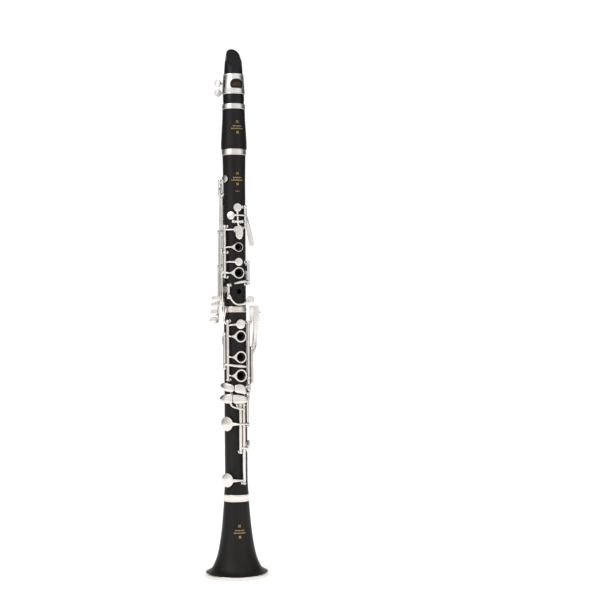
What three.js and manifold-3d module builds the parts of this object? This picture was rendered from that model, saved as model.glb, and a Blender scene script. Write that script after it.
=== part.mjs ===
// A B-flat soprano clarinet of the Boehm system: five turned joints, a mouthpiece with its reed and
// ligature, and twenty-one keys on seventeen axles. Millimetres. The bore is the Z axis, the bell's
// rim stands on z = 0, and the finger holes face -Y. Places round the bore are given as an angle in
// degrees from the front, growing towards +X, a distance from the bore's axis and a height.
import * as THREE from "three";
import { mergeVertices } from "three/addons/utils/BufferGeometryUtils.js";
import Module from "manifold-3d";

const wasm = await Module();
wasm.setup();

// ---------------------------------------------------------------- driving dimensions
const bellLength = 103;
const lowerLength = 236.6;
const upperLength = 190;
const barrelLength = 65.3;
const mouthpieceShown = 71.4; // from the barrel to the tip
const boreRadius = 7.4;
const lowerRadius = 14.3; // outside of the lower joint at its middle
const upperRadius = 14.1; // outside of the upper joint at its middle
const bellRimRadius = 40.15;

const gap = 0.3; // between two pieces that touch or seat in each other
const tenonRadius = 11.3;
const corkWall = 1;
const socketRadius = tenonRadius + 0.2 + gap;
const tenonLength = 16.5;
const bellTenonLength = 20.5;
const corkLength = 11;

const rodRadius = 1; // steel rod that a key turns on
const tubeRadius = 1.9; // outside of a key's hinge tube
const tubeBore = rodRadius + gap;
const stemRadius = 1.3; // post's stem
const stemDepth = 2.6; // how far a stem goes into the wood
const headRadius = 2.1; // post's head
const headLength = 3.2; // post's head along its rod
const rodLift = 4.3; // rod's axis above the wood
const lipHeight = 0.5; // raised seat round a tone hole
const stackLift = 1.7; // how far the ring keys' pads stand off their seats
const footLift = 2.4; // how far the two large open pads stand off theirs
const cupHeight = 2.2;
const plateWall = 1.6; // finger plates and touches

// ---------------------------------------------------------------- heights along the bore
const bellTop = bellLength;
const lowerTop = bellTop + lowerLength;
const upperTop = lowerTop + upperLength;
const barrelTop = upperTop + barrelLength;
const tipTop = barrelTop + mouthpieceShown;
const onLower = (distance) => bellTop + distance; // up from the lower joint's foot
const underSocket = (distance) => lowerTop - distance; // down from the lower joint's top
const onUpper = (distance) => lowerTop + distance; // up from the upper joint's foot

// ---------------------------------------------------------------- small helpers
const rad = THREE.MathUtils.degToRad;

function polar(degrees, radius, height) {
  const angle = rad(degrees);
  return new THREE.Vector3(radius * Math.sin(angle), -radius * Math.cos(angle), height);
}

function solid(geometry) {
  const bare = geometry.clone();
  bare.deleteAttribute("normal");
  bare.deleteAttribute("uv");
  const merged = mergeVertices(bare, 1e-4);
  return new wasm.Manifold(
    new wasm.Mesh({
      numProp: 3,
      vertProperties: new Float32Array(merged.attributes.position.array),
      triVerts: new Uint32Array(merged.index.array),
    }),
  );
}

const joined = (first, ...rest) => rest.reduce((sum, piece) => sum.add(piece), first);

// A round bar from one point to another.
function bar(radius, from, to, sides = 8) {
  const along = to.clone().sub(from);
  const geometry = new THREE.CylinderGeometry(radius, radius, along.length(), sides);
  const turn = new THREE.Quaternion().setFromUnitVectors(
    new THREE.Vector3(0, 1, 0),
    along.clone().normalize(),
  );
  geometry.applyQuaternion(turn);
  geometry.translate(...from.clone().add(to).multiplyScalar(0.5).toArray());
  return solid(geometry);
}

// A shape turned about the bore, from a closed outline of [radius, height] points.
function turned(outline, sides = 20) {
  const points = outline.map(([radius, height]) => new THREE.Vector2(radius, height));
  points.push(points[0].clone());
  return solid(new THREE.LatheGeometry(points, sides).rotateX(Math.PI / 2));
}

// A plate curved round the bore.
function sector(fromDegrees, toDegrees, inner, outer, low, high, segments = 3) {
  const [from, to] = [rad(fromDegrees - 90), rad(toDegrees - 90)];
  const shape = new THREE.Shape();
  shape.absarc(0, 0, outer, from, to, false);
  shape.absarc(0, 0, inner, to, from, true);
  const geometry = new THREE.ExtrudeGeometry(shape, {
    depth: high - low,
    bevelEnabled: false,
    curveSegments: segments,
  });
  return solid(geometry.translate(0, 0, low));
}

const armSteps = 2; // between one place and the next

// A bent arm of round section through places given as [degrees, radius, height].
function arm(radius, places) {
  const shape = new THREE.Shape();
  shape.absarc(0, 0, radius, 0, 2 * Math.PI, false);
  const extrudePath = new THREE.CatmullRomCurve3(places.map((place) => polar(...place)));
  return solid(
    new THREE.ExtrudeGeometry(shape, {
      steps: armSteps * (places.length - 1),
      extrudePath,
      bevelEnabled: false,
      curveSegments: 3,
    }),
  );
}

// A round disc facing away from the bore.
const disc = (degrees, height, radius, inner, outer, sides = 12) =>
  bar(radius, polar(degrees, inner, height), polar(degrees, outer, height), sides);

// A plate with upright sides: an outline of [across, height] points, as thick as the two distances
// from the bore allow, with its middle facing away from the bore at the given angle.
function upright(outline, degrees, inner, outer) {
  const shape = new THREE.Shape(outline.map(([across, height]) => new THREE.Vector2(across, height)));
  const geometry = new THREE.ExtrudeGeometry(shape, { depth: outer - inner, bevelEnabled: false });
  geometry.rotateX(Math.PI / 2);
  geometry.translate(0, -inner, 0);
  geometry.rotateZ(rad(degrees));
  return solid(geometry);
}

// An ellipse for upright plates.
function oval(halfWidth, halfHeight, height, corners = 18) {
  return Array.from({ length: corners }, (_, i) => {
    const angle = (2 * Math.PI * i) / corners;
    return [halfWidth * Math.cos(angle), height + halfHeight * Math.sin(angle)];
  });
}

const box = (low, high) => {
  const size = high.map((value, i) => value - low[i]);
  const centre = high.map((value, i) => (value + low[i]) / 2);
  return solid(new THREE.BoxGeometry(...size).translate(...centre));
};

// Straight-line interpolation in a table of [height, radius] rows that climbs in height.
function radiusAt(table, height) {
  const upper = table.findIndex(([tableHeight]) => tableHeight >= height);
  if (upper === 0) return table[0][1];
  if (upper < 0) return table[table.length - 1][1];
  const [[z0, r0], [z1, r1]] = [table[upper - 1], table[upper]];
  return r0 + ((r1 - r0) * (height - z0)) / (z1 - z0);
}

// ---------------------------------------------------------------- outsides of the two joints
const lowerProfile = [
  [bellTop, lowerRadius + 1.2],
  [onLower(14), lowerRadius + 0.2],
  [onLower(100), lowerRadius],
  [lowerTop, lowerRadius - 0.1],
];
const upperProfile = [
  [lowerTop, upperRadius - 0.2],
  [onUpper(60), upperRadius - 0.1],
  [onUpper(160), upperRadius],
  [upperTop, upperRadius + 0.5],
];
const lowerSurface = (height) => radiusAt(lowerProfile, height);
const upperSurface = (height) => radiusAt(upperProfile, height);
const lowerRod = lowerRadius + rodLift;
const upperRod = upperRadius + rodLift;

// ---------------------------------------------------------------- axles
// Each axle is a straight steel rod through the heads of its posts, which stand in the wood. Most lie
// along the bore: an angle, a distance from the bore and the posts' heights. Two lie across it.
const alongBore = (surface, degrees, radius, heights) => ({
  surface,
  posts: heights.map((height) => ({ degrees, radius, height })),
});
const acrossBore = (surface, height, radius, angles) => ({
  surface,
  posts: angles.map((degrees) => ({ degrees, radius, height })),
});
const axles = {
  register_axle: acrossBore(upperSurface, onUpper(112), upperRod, [164, 196]),
  throat_a_axle: acrossBore(upperSurface, onUpper(106.2), upperRod, [-22, 14]),
  throat_g_sharp_axle: alongBore(upperSurface, 31, upperRod, [onUpper(99), onUpper(125)]),
  trill_axle: alongBore(upperSurface, -95, upperRod, [onUpper(142), onUpper(158)]),
  side_key_axle: alongBore(
    upperSurface,
    -142,
    upperRod,
    [7, 48.5, 92, 138.5].map(onUpper),
  ),
  left_stack_axle: alongBore(upperSurface, -60, upperRod, [37, 68, 100.4].map(onUpper)),
  thumb_ring_axle: alongBore(upperSurface, 125, upperRod, [74, 96].map(onUpper)),
  c_sharp_g_sharp_axle: alongBore(upperSurface, -44, upperRod - 0.6, [11, 26.5].map(onUpper)),
  e_flat_sliver_axle: alongBore(upperSurface, 47, upperRod, [28, 55.5].map(onUpper)),
  right_stack_axle: alongBore(lowerSurface, -48, lowerRod, [92, 18.6].map(underSocket)),
  b_natural_sliver_axle: alongBore(lowerSurface, -64, lowerRod, [78, 34.5].map(underSocket)),
  right_edge_axle: alongBore(lowerSurface, 44, lowerRod, [131.5, 146.5, 216.5].map(onLower)),
  middle_lever_axle: alongBore(lowerSurface, 66, lowerRod + 2, [140.5, 184].map(onLower)),
  outer_lever_axle: alongBore(lowerSurface, 88, lowerRod + 1.5, [139, 182].map(onLower)),
  f_c_axle: alongBore(lowerSurface, 35, lowerRod, [85.5, 126.3].map(onLower)),
  e_b_axle: alongBore(lowerSurface, 15, lowerRod, [14.5, 113].map(onLower)),
  f_sharp_c_sharp_axle: alongBore(lowerSurface, 1, lowerRod, [53.5, 113].map(onLower)),
};

const postPoint = ({ degrees, radius, height }) => polar(degrees, radius, height);
const postFoot = ({ degrees, height }, surface, depth) =>
  polar(degrees, surface(height) - depth, height);

function makeAxle({ surface, posts }) {
  const points = posts.map(postPoint);
  const along = points[points.length - 1].clone().sub(points[0]).normalize();
  const reach = along.clone().multiplyScalar(headLength / 2);
  let body = bar(rodRadius, points[0], points[points.length - 1]);
  posts.forEach((post, i) => {
    body = body.add(bar(stemRadius, postFoot(post, surface, stemDepth), points[i], 6));
    body = body.add(bar(headRadius, points[i].clone().sub(reach), points[i].clone().add(reach)));
  });
  return body;
}

// Pockets in the wood for an axle's stems.
function stemPockets({ surface, posts }) {
  return posts.map((post) =>
    bar(
      stemRadius + gap,
      postFoot(post, surface, stemDepth + gap),
      polar(post.degrees, surface(post.height) + 3, post.height),
      6,
    ),
  );
}

// ---------------------------------------------------------------- tone holes
// chimney is the radius of the raised seat or of the tube that a finger ring drops round.
const hole = (degrees, height, radius, chimney, rise = lipHeight) => ({
  degrees,
  height,
  radius,
  chimney,
  rise,
});
const ringRise = 1.4;
const ringHoles = {
  leftIndex: hole(0, onUpper(74.2), 3.1, 3.9, ringRise),
  leftMiddle: hole(1, onUpper(41.9), 3.6, 4.7, ringRise),
  thumb: hole(180, onUpper(80), 3.2, 4.2, ringRise),
  rightIndex: hole(7, underSocket(37.9), 3.8, 4.7, ringRise),
  rightMiddle: hole(7, underSocket(63.9), 3.8, 4.7, ringRise),
  rightRing: hole(7, underSocket(87.2), 4.2, 5.1, ringRise),
};
const padHoles = {
  register: hole(180, onUpper(136), 1.6, 3),
  throatA: hole(-3, onUpper(123.9), 2.6, 4),
  throatGSharp: hole(-33, onUpper(113.9), 2.6, 3.9),
  trillUpper: hole(-65, onUpper(160.4), 2.4, 3.6),
  trillLower: hole(-105, onUpper(132.9), 2.4, 3.6),
  sideEFlat: hole(-116, onUpper(70), 2.2, 3.2),
  sideFSharp: hole(-116, onUpper(27), 2.2, 3.2),
  vent: hole(-8, onUpper(96.1), 2.2, 3.4),
  leftPad: hole(-1, onUpper(55.6), 2.8, 3.9),
  eFlatSliver: hole(78, onUpper(48), 2.4, 3.4),
  cSharpGSharp: hole(-68, onUpper(21), 2, 2.9),
  rightPad: hole(5, underSocket(22.6), 3.4, 4.8),
  bSliver: hole(-93, underSocket(43.2), 3.2, 4.6),
  gSharpDSharp: hole(85, onLower(122), 4.6, 6.4),
  fC: hole(-55, onLower(89), 5.4, 7.4),
  fSharpCSharp: hole(54, onLower(59), 5, 7),
  eB: hole(-54.5, onLower(18.3), 5.2, 7.2),
};
const openHole = hole(6, onUpper(18.4), 3.1, 3.6, 0);
const upperHoles = [
  ringHoles.leftIndex,
  ringHoles.leftMiddle,
  ringHoles.thumb,
  padHoles.register,
  padHoles.throatA,
  padHoles.throatGSharp,
  padHoles.trillUpper,
  padHoles.trillLower,
  padHoles.sideEFlat,
  padHoles.sideFSharp,
  padHoles.vent,
  padHoles.leftPad,
  padHoles.eFlatSliver,
  padHoles.cSharpGSharp,
  openHole,
];
const lowerHoles = [
  ringHoles.rightIndex,
  ringHoles.rightMiddle,
  ringHoles.rightRing,
  padHoles.rightPad,
  padHoles.bSliver,
  padHoles.gSharpDSharp,
  padHoles.fC,
  padHoles.fSharpCSharp,
  padHoles.eB,
];
const wallMiddle = (surface, height) => (boreRadius + surface(height)) / 2;

function withHoles(body, holes, surface) {
  let result = body;
  for (const { degrees, height, chimney, rise } of holes) {
    if (rise === 0) continue;
    const seat = surface(height) + rise;
    result = result.add(disc(degrees, height, chimney, wallMiddle(surface, height), seat, 10));
  }
  for (const { degrees, height, radius } of holes) {
    result = result.subtract(disc(degrees, height, radius, boreRadius / 2, surface(height) + 4, 8));
  }
  return result;
}

// ---------------------------------------------------------------- tenons and sockets
// Outline of a tenon pointing up or down from a shoulder, outside only, with its cork's groove.
const grooveRadius = tenonRadius - corkWall - gap + 0.2;
const grooveLength = corkLength + 2 * gap;
function tenonOutline(shoulder, direction, length) {
  const mouth = shoulder + direction * length;
  const near = shoulder + (direction * (length - grooveLength)) / 2;
  const far = near + direction * grooveLength;
  return [
    [tenonRadius, shoulder],
    [tenonRadius, near],
    [grooveRadius, near],
    [grooveRadius, far],
    [tenonRadius, far],
    [tenonRadius, mouth],
    [boreRadius, mouth],
  ];
}
function makeCork(shoulder, direction, length) {
  const middle = shoulder + (direction * length) / 2;
  const inner = grooveRadius + gap;
  return turned([
    [inner, middle - corkLength / 2],
    [inner + corkWall - 0.1, middle - corkLength / 2],
    [inner + corkWall - 0.1, middle + corkLength / 2],
    [inner, middle + corkLength / 2],
  ]);
}

// A metal ring let into the outside of a joint, and the wood's radius beneath it.
const ringWall = 1.1;
const makeRing = (outer, low, high) =>
  turned([
    [outer - ringWall, low],
    [outer, low],
    [outer, high],
    [outer - ringWall, high],
  ]);
const underRing = (outer) => outer - ringWall - gap;

const barrelTopRing = { radius: 14.95, length: 6.9 };
const barrelBottomRing = { radius: 15.9, length: 7.9 };
const middleRing = { radius: 14.6, length: 7.6 };
const bellRing = { radius: 16.7, length: 9.2 };
const socketFloor = 0.8; // between a tenon's mouth and the bottom of its socket

// ---------------------------------------------------------------- turned joints
// Bell's outside as rows of [height, radius], from above the rim to below the socket ring.
const bellOutside = [
  [4.8, 37.2],
  [8.9, 31.7],
  [16.9, 27.5],
  [25, 24.7],
  [33.1, 22.8],
  [49.3, 20.1],
  [65.4, 18.2],
  [81.7, 16.8],
];
// Bell's flare inside, from the socket's floor down to the rim.
const bellInside = [
  [72, 11.6],
  [58, 13],
  [44, 15.2],
  [30, 18.3],
  [18, 22.6],
  [8.5, 28.6],
  [3.6, 34.6],
  [1.2, bellRimRadius - 2.6],
];
const bellSides = 28;
const rimRing = { height: 4, lip: 3.2, wall: 1 };

function makeBell() {
  const rimWood = bellRimRadius - rimRing.wall - gap;
  const ringLow = bellTop - bellRing.length;
  const floor = bellTop - bellTenonLength - socketFloor;
  return turned(
    [
      [bellRimRadius - 2.6, rimRing.wall + gap],
      [rimWood, rimRing.wall + gap],
      [rimWood, rimRing.height],
      ...bellOutside.map(([height, radius]) => [radius, height]),
      [bellRing.radius - 0.8, ringLow - gap],
      [underRing(bellRing.radius), ringLow - gap],
      [underRing(bellRing.radius), bellTop - gap],
      [socketRadius, bellTop - gap],
      [socketRadius, floor],
      [boreRadius + 1.4, floor],
      ...bellInside.slice(0, -1).map(([height, radius]) => [radius, height]),
    ],
    bellSides,
  );
}

function makeRimRing() {
  return turned(
    [
      [bellRimRadius - rimRing.lip, 0],
      [bellRimRadius, 0],
      [bellRimRadius, rimRing.height],
      [bellRimRadius - rimRing.wall, rimRing.height],
      [bellRimRadius - rimRing.wall, rimRing.wall],
      [bellRimRadius - rimRing.lip, rimRing.wall],
    ],
    bellSides,
  );
}

function makeLowerJoint() {
  const ringLow = lowerTop - middleRing.length;
  const tenon = tenonOutline(bellTop + gap, -1, bellTenonLength);
  const body = turned([
    ...tenon.reverse(),
    ...lowerProfile.slice(0, -1).map(([height, radius]) => [radius, height + gap]),
    [lowerRadius - 0.1, ringLow - gap],
    [underRing(middleRing.radius), ringLow - gap],
    [underRing(middleRing.radius), lowerTop - gap],
    [socketRadius, lowerTop - gap],
    [socketRadius, lowerTop - tenonLength - socketFloor],
    [boreRadius, lowerTop - tenonLength - socketFloor],
  ]);
  const lowerAxles = Object.values(axles).filter(({ surface }) => surface === lowerSurface);
  return withHoles(body, lowerHoles, lowerSurface).subtract(
    joined(...lowerAxles.flatMap(stemPockets)),
  );
}

function makeUpperJoint() {
  const body = turned([
    ...tenonOutline(lowerTop, -1, tenonLength).reverse(),
    ...upperProfile.map(([height, radius]) => [radius, height]),
    ...tenonOutline(upperTop, 1, tenonLength),
  ]);
  const upperAxles = Object.values(axles).filter(({ surface }) => surface === upperSurface);
  return withHoles(body, upperHoles, upperSurface).subtract(
    joined(...upperAxles.flatMap(stemPockets)),
  );
}

function makeBarrel() {
  const low = upperTop + gap;
  const high = barrelTop - gap;
  const bottomEdge = upperTop + barrelBottomRing.length + gap;
  const topEdge = barrelTop - barrelTopRing.length - gap;
  return turned([
    [boreRadius, upperTop + tenonLength + socketFloor],
    [socketRadius, upperTop + tenonLength + socketFloor],
    [socketRadius, low],
    [underRing(barrelBottomRing.radius), low],
    [underRing(barrelBottomRing.radius), bottomEdge],
    [barrelBottomRing.radius + 0.2, bottomEdge],
    [barrelBottomRing.radius + 0.4, bottomEdge + 4.5],
    [barrelBottomRing.radius - 0.3, bottomEdge + 20],
    [barrelTopRing.radius - 0.4, topEdge - 12],
    [barrelTopRing.radius - 0.7, topEdge],
    [underRing(barrelTopRing.radius), topEdge],
    [underRing(barrelTopRing.radius), high],
    [socketRadius, high],
    [socketRadius, barrelTop - tenonLength - socketFloor],
    [boreRadius, barrelTop - tenonLength - socketFloor],
  ]);
}

// ---------------------------------------------------------------- mouthpiece, reed and ligature
const mouthpieceProfile = [
  [barrelTop, 13.2],
  [barrelTop + 8, 13.55],
  [barrelTop + 37, 12],
  [barrelTop + 53, 10.9],
  [tipTop, 8],
];
const tableDepth = 8.2; // from the bore's axis to the flat that the reed lies on
const beakFoot = barrelTop + 44; // where the slope at the front starts
const tipDepth = 6.6;
const chamberHalfWidth = 4.8;
const windowTop = tipTop - 4;
const reedHalfWidth = 5.8;
const reedWall = 2.2;

// A block with a [depth, height] outline in the plane of the bore, as wide as given on each side.
function sideBlock(outline, halfWidth) {
  const shape = new THREE.Shape(outline.map(([depth, height]) => new THREE.Vector2(depth, height)));
  const geometry = new THREE.ExtrudeGeometry(shape, { depth: 2 * halfWidth, bevelEnabled: false });
  geometry.translate(0, 0, -halfWidth);
  geometry.applyMatrix4(new THREE.Matrix4().set(0, 0, 1, 0, 1, 0, 0, 0, 0, 1, 0, 0, 0, 0, 0, 1));
  return solid(geometry);
}

function makeMouthpiece() {
  const body = turned([
    ...tenonOutline(barrelTop, -1, tenonLength).reverse(),
    ...mouthpieceProfile.map(([height, radius]) => [radius, height]),
    [0.001, tipTop],
    [0.001, beakFoot - 8],
    [boreRadius, beakFoot - 8],
  ]);
  const table = box([-20, tableDepth, barrelTop + 4], [20, 20, tipTop + 1]);
  const beak = sideBlock(
    [
      [-20, beakFoot],
      [-11.2, beakFoot],
      [tipDepth, tipTop + 0.1],
      [tipDepth, tipTop + 5],
      [-20, tipTop + 5],
    ],
    20,
  );
  const chamber = sideBlock(
    [
      [-4, beakFoot - 12],
      [tableDepth + 1, beakFoot - 12],
      [tableDepth + 1, windowTop],
      [tipDepth - 0.4, windowTop],
      [-4, beakFoot - 4],
    ],
    chamberHalfWidth,
  );
  return joined(body).subtract(table).subtract(beak).subtract(chamber);
}

function makeReed() {
  const near = tableDepth + gap;
  return sideBlock(
    [
      [near, barrelTop + 5],
      [near + reedWall, barrelTop + 5],
      [near + reedWall, barrelTop + 36],
      [near + 0.5, tipTop - 0.2],
      [near, tipTop - 0.2],
    ],
    reedHalfWidth,
  );
}

const ligatureLow = barrelTop + 12.1;
const ligatureHigh = barrelTop + 37.6;
const ligatureWall = 1;
const screwHeights = [barrelTop + 16.5, barrelTop + 28.6];
const screwDepth = 17.6; // from the bore's axis to the screws' axes
const screwRadius = 1.2;
const lugReach = 7;

function makeLigature() {
  const insideAt = (height) => radiusAt(mouthpieceProfile, height) + gap + 0.1;
  const [low, high] = [insideAt(ligatureLow), insideAt(ligatureHigh)];
  let body = turned([
    [low, ligatureLow],
    [low + ligatureWall, ligatureLow],
    [high + ligatureWall, ligatureHigh],
    [high, ligatureHigh],
  ]);
  for (const height of screwHeights) {
    body = body.add(box([-lugReach, low - 0.9, height - 2.4], [lugReach, screwDepth + 2.4, height + 2.4]));
    const from = new THREE.Vector3(-20, screwDepth, height);
    body = body.subtract(bar(screwRadius + gap, from, from.clone().setX(20)));
  }
  const insideCone = turned([
    [0.001, ligatureLow - 1],
    [insideAt(ligatureLow - 1), ligatureLow - 1],
    [insideAt(ligatureHigh + 1), ligatureHigh + 1],
    [0.001, ligatureHigh + 1],
  ]);
  const split = box([-1.6, 5, ligatureLow - 1], [1.6, 25, ligatureHigh + 1]);
  return body.subtract(insideCone).subtract(split);
}

const paddleRadius = 4.7;
const paddleHalf = 0.9;

// A thumb-screw: a thin round paddle, seen full-face from the front, on a plain shank.
function makeLigatureScrew(height) {
  const middle = new THREE.Vector3(-lugReach - 8.4, screwDepth, height);
  const tip = middle.clone().setX(lugReach + 1);
  const front = middle.clone().setY(screwDepth - paddleHalf);
  const back = middle.clone().setY(screwDepth + paddleHalf);
  return bar(paddleRadius, front, back, 20).add(bar(screwRadius, middle, tip));
}

// ---------------------------------------------------------------- keys
// The length of an axle between two of its posts, less the running gap at each end.
function between(axle, lower) {
  const [from, to] = [lower, lower + 1].map((i) => postPoint(axle.posts[i]));
  if (from.z > to.z) return between({ ...axle, posts: [...axle.posts].reverse() }, lower);
  const along = to.clone().sub(from).normalize();
  const inset = headLength / 2 + gap;
  return [from.addScaledVector(along, inset), to.addScaledVector(along, -inset)];
}

// A key is its hinge tube and everything fixed to it, with the rod's bore cleared through.
function makeKey([from, to], ...pieces) {
  const along = to.clone().sub(from).normalize();
  const body = joined(bar(tubeRadius, from, to, 10), ...pieces);
  const clear = [from.clone().addScaledVector(along, -8), to.clone().addScaledVector(along, 8)];
  return body.subtract(bar(tubeBore, ...clear));
}

// A pad with its cup over a tone hole, standing open or closed.
function cup({ degrees, height, rise }, surface, radius, lift = 0) {
  const seat = surface(height) + rise + gap + lift;
  return disc(degrees, height, radius, seat, seat + cupHeight);
}
const cupTop = ({ height, rise }, surface, lift = 0) =>
  surface(height) + rise + gap + lift + cupHeight;

// A finger ring, held clear above its tone hole's tube.
const ringClearance = 1;
const ringStand = 0.4; // ring's underside above the tube's top at rest
function fingerRing({ degrees, height, chimney, rise }, surface, outer) {
  const low = surface(height) + rise + ringStand;
  return disc(degrees, height, outer, low, low + 1.3);
}
function ringBore({ degrees, height, chimney }, surface) {
  return disc(degrees, height, chimney + ringClearance, surface(height) - 2, surface(height) + 8, 12);
}
const ringMiddle = ({ height, rise }, surface) => surface(height) + rise + ringStand + 0.65;

const armRadius = 1.1;

function makeRegisterKey() {
  const hinge = between(axles.register_axle, 0);
  const pad = padHoles.register;
  const top = cupTop(pad, upperSurface) - 0.4;
  return makeKey(
    hinge,
    cup(pad, upperSurface, 3.9),
    arm(armRadius, [
      [180, top, pad.height],
      [180, upperRod, onUpper(122)],
      [180, upperRod - 0.2, onUpper(112)],
      [180, upperRod + 0.6, onUpper(103)],
    ]),
    upright(oval(4.2, 6, onUpper(98)), 180, upperRod - 0.2, upperRod + 1.4),
  );
}

function makeThroatAKey() {
  const hinge = between(axles.throat_a_axle, 0);
  const pad = padHoles.throatA;
  const touch = onUpper(92.4);
  return makeKey(
    hinge,
    cup(pad, upperSurface, 5.2),
    arm(armRadius, [
      [-3, cupTop(pad, upperSurface) - 0.6, pad.height],
      [-4, upperRod - 0.9, onUpper(113)],
      [-4, upperRod - 0.5, onUpper(106)],
      [-3, upperRod + 1.6, onUpper(102)],
      [-2, upperRod + 2.6, onUpper(97)],
    ]),
    upright(oval(5, 8.8, touch), -1, upperRod + 2, upperRod + 2 + plateWall),
  );
}

function makeThroatGSharpKey() {
  const hinge = between(axles.throat_g_sharp_axle, 0);
  const pad = padHoles.throatGSharp;
  const level = pad.height;
  return makeKey(
    hinge,
    cup(pad, upperSurface, 5),
    arm(armRadius, [
      [31, upperRod, level],
      [20, upperRod + 2.7, level],
      [-3, upperRod + 3.1, level],
      [-20, upperRod + 1.4, level],
      [pad.degrees, cupTop(pad, upperSurface) - 0.5, level],
    ]),
    sector(30, 44, upperRod - 0.4, upperRod + 1.2, onUpper(101.5), onUpper(112)),
    sector(38, 58, upperRod - 0.4, upperRod + 1.2, onUpper(74), onUpper(109)),
  );
}

// One of the four long keys on the side: a lever down the left of the instrument to a touch that
// stands out to the side.
function sideTouch(degrees, height, tall) {
  const [across, front] = polar(degrees, leverRadius, 0).toArray();
  return box([-34, front - 0.8, height - tall / 2], [across + 0.6, front + 0.8, height + tall / 2]);
}
const leverRadius = upperRadius + 7.3;

function makeTrillUpperKey() {
  const hinge = between(axles.trill_axle, 0);
  const pad = padHoles.trillUpper;
  return makeKey(
    hinge,
    cup(pad, upperSurface, 4.7),
    arm(armRadius, [
      [-95, upperRod, onUpper(152.5)],
      [-82, upperRod + 0.2, onUpper(156)],
      [pad.degrees, cupTop(pad, upperSurface) - 0.5, pad.height],
    ]),
    arm(armRadius, [
      [-95, upperRod, onUpper(149)],
      [-83, leverRadius - 0.6, onUpper(147)],
      [-76, leverRadius, onUpper(138)],
      [-76, leverRadius, onUpper(70)],
      [-76, leverRadius, onUpper(8)],
    ]),
    sideTouch(-76, onUpper(9.8), 7),
  );
}

// The other three side keys hang on one rod at the back left.
function makeSideKey(pad, padRadius, section, leverAngle, touchHeight, touchTall) {
  const hinge = between(axles.side_key_axle, section);
  const start = hinge[0].z + 2;
  return makeKey(
    hinge,
    cup(pad, upperSurface, padRadius),
    arm(armRadius, [
      [-142, upperRod, pad.height],
      [-130, upperRod + 0.3, pad.height],
      [pad.degrees, cupTop(pad, upperSurface) - 0.5, pad.height],
    ]),
    arm(armRadius, [
      [-142, upperRod, start],
      [-125, leverRadius, start - 0.5],
      [leverAngle - 4, leverRadius, start - 2],
      [leverAngle, leverRadius, start - 7],
      [leverAngle, leverRadius, (start + touchHeight) / 2],
      [leverAngle, leverRadius, touchHeight],
    ]),
    sideTouch(leverAngle, touchHeight, touchTall),
  );
}

const ventTop = 3.9; // vent pad's low cup, which clears the throat A key's touch above it

function makeLeftIndexKey() {
  const hinge = between(axles.left_stack_axle, 1);
  const ring = ringHoles.leftIndex;
  const pad = padHoles.vent;
  const level = ringMiddle(ring, upperSurface);
  return makeKey(
    hinge,
    cup(pad, upperSurface, 4.1, stackLift).subtract(
      disc(pad.degrees, pad.height, 6, upperRadius + ventTop, upperRadius + 8),
    ),
    arm(0.8, [
      [-60, upperRod, pad.height],
      [-35, upperRod - 1.1, pad.height],
      [pad.degrees - 6, upperRadius + ventTop - 0.5, pad.height],
    ]),
    fingerRing(ring, upperSurface, 5.8),
    arm(0.9, [
      [-60, upperRod, ring.height - 0.5],
      [-42, level + 1, ring.height],
      [-18, level + 0.2, ring.height],
    ]),
  ).subtract(ringBore(ring, upperSurface));
}

function makeThumbRingKey() {
  const hinge = between(axles.thumb_ring_axle, 0);
  const ring = ringHoles.thumb;
  const level = ringMiddle(ring, upperSurface);
  return makeKey(
    hinge,
    fingerRing(ring, upperSurface, 6.4),
    arm(armRadius, [
      [125, upperRod, ring.height + 3],
      [142, level + 1, ring.height + 1],
      [160, level + 0.2, ring.height],
    ]),
  ).subtract(ringBore(ring, upperSurface));
}

function makeLeftBridgeKey() {
  const hinge = between(axles.left_stack_axle, 0);
  const ring = ringHoles.leftMiddle;
  const pad = padHoles.leftPad;
  const level = ringMiddle(ring, upperSurface);
  return makeKey(
    hinge,
    cup(pad, upperSurface, 5, stackLift),
    arm(armRadius, [
      [-60, upperRod, pad.height],
      [-32, upperRod + 1.4, pad.height],
      [-10, cupTop(pad, upperSurface, stackLift) - 0.3, pad.height],
    ]),
    fingerRing(ring, upperSurface, 7.2),
    arm(armRadius, [
      [-60, upperRod, ring.height + 0.8],
      [-42, level + 1, ring.height],
      [-22, level + 0.2, ring.height],
    ]),
    arm(armRadius, [
      [-60, upperRod, onUpper(45)],
      [-66, upperRod + 3.4, onUpper(41)],
      [-66, upperRod + 3.6, onUpper(34)],
      [-66, upperRod + 2.8, onUpper(12)],
      [-68, upperRod + 1.8, onUpper(3)],
      [-68, upperRod + 1.4, underSocket(6)],
    ]),
  ).subtract(ringBore(ring, upperSurface));
}

function makeCSharpGSharpKey() {
  const hinge = between(axles.c_sharp_g_sharp_axle, 0);
  const pad = padHoles.cSharpGSharp;
  const rod = upperRod - 0.6;
  return makeKey(
    hinge,
    cup(pad, upperSurface, 3.9).subtract(
      disc(pad.degrees, pad.height, 6, upperRadius + 2.4, upperRadius + 6),
    ),
    arm(0.8, [
      [-44, rod, pad.height],
      [-56, rod - 0.8, pad.height],
      [-62, upperRadius + 2, pad.height],
    ]),
    arm(armRadius, [
      [-44, rod, onUpper(16.5)],
      [-36, rod + 3, onUpper(13.5)],
      [-28, rod + 2.4, onUpper(7.5)],
      [-12, rod + 1.2, onUpper(2.6)],
      [12, rod + 1.4, onUpper(2.4)],
      [34, rod + 2.8, onUpper(5)],
    ]),
    sector(32, 62, rod + 2.4, rod + 2.4 + plateWall, onUpper(2.6), onUpper(12.4)),
  );
}

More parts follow.
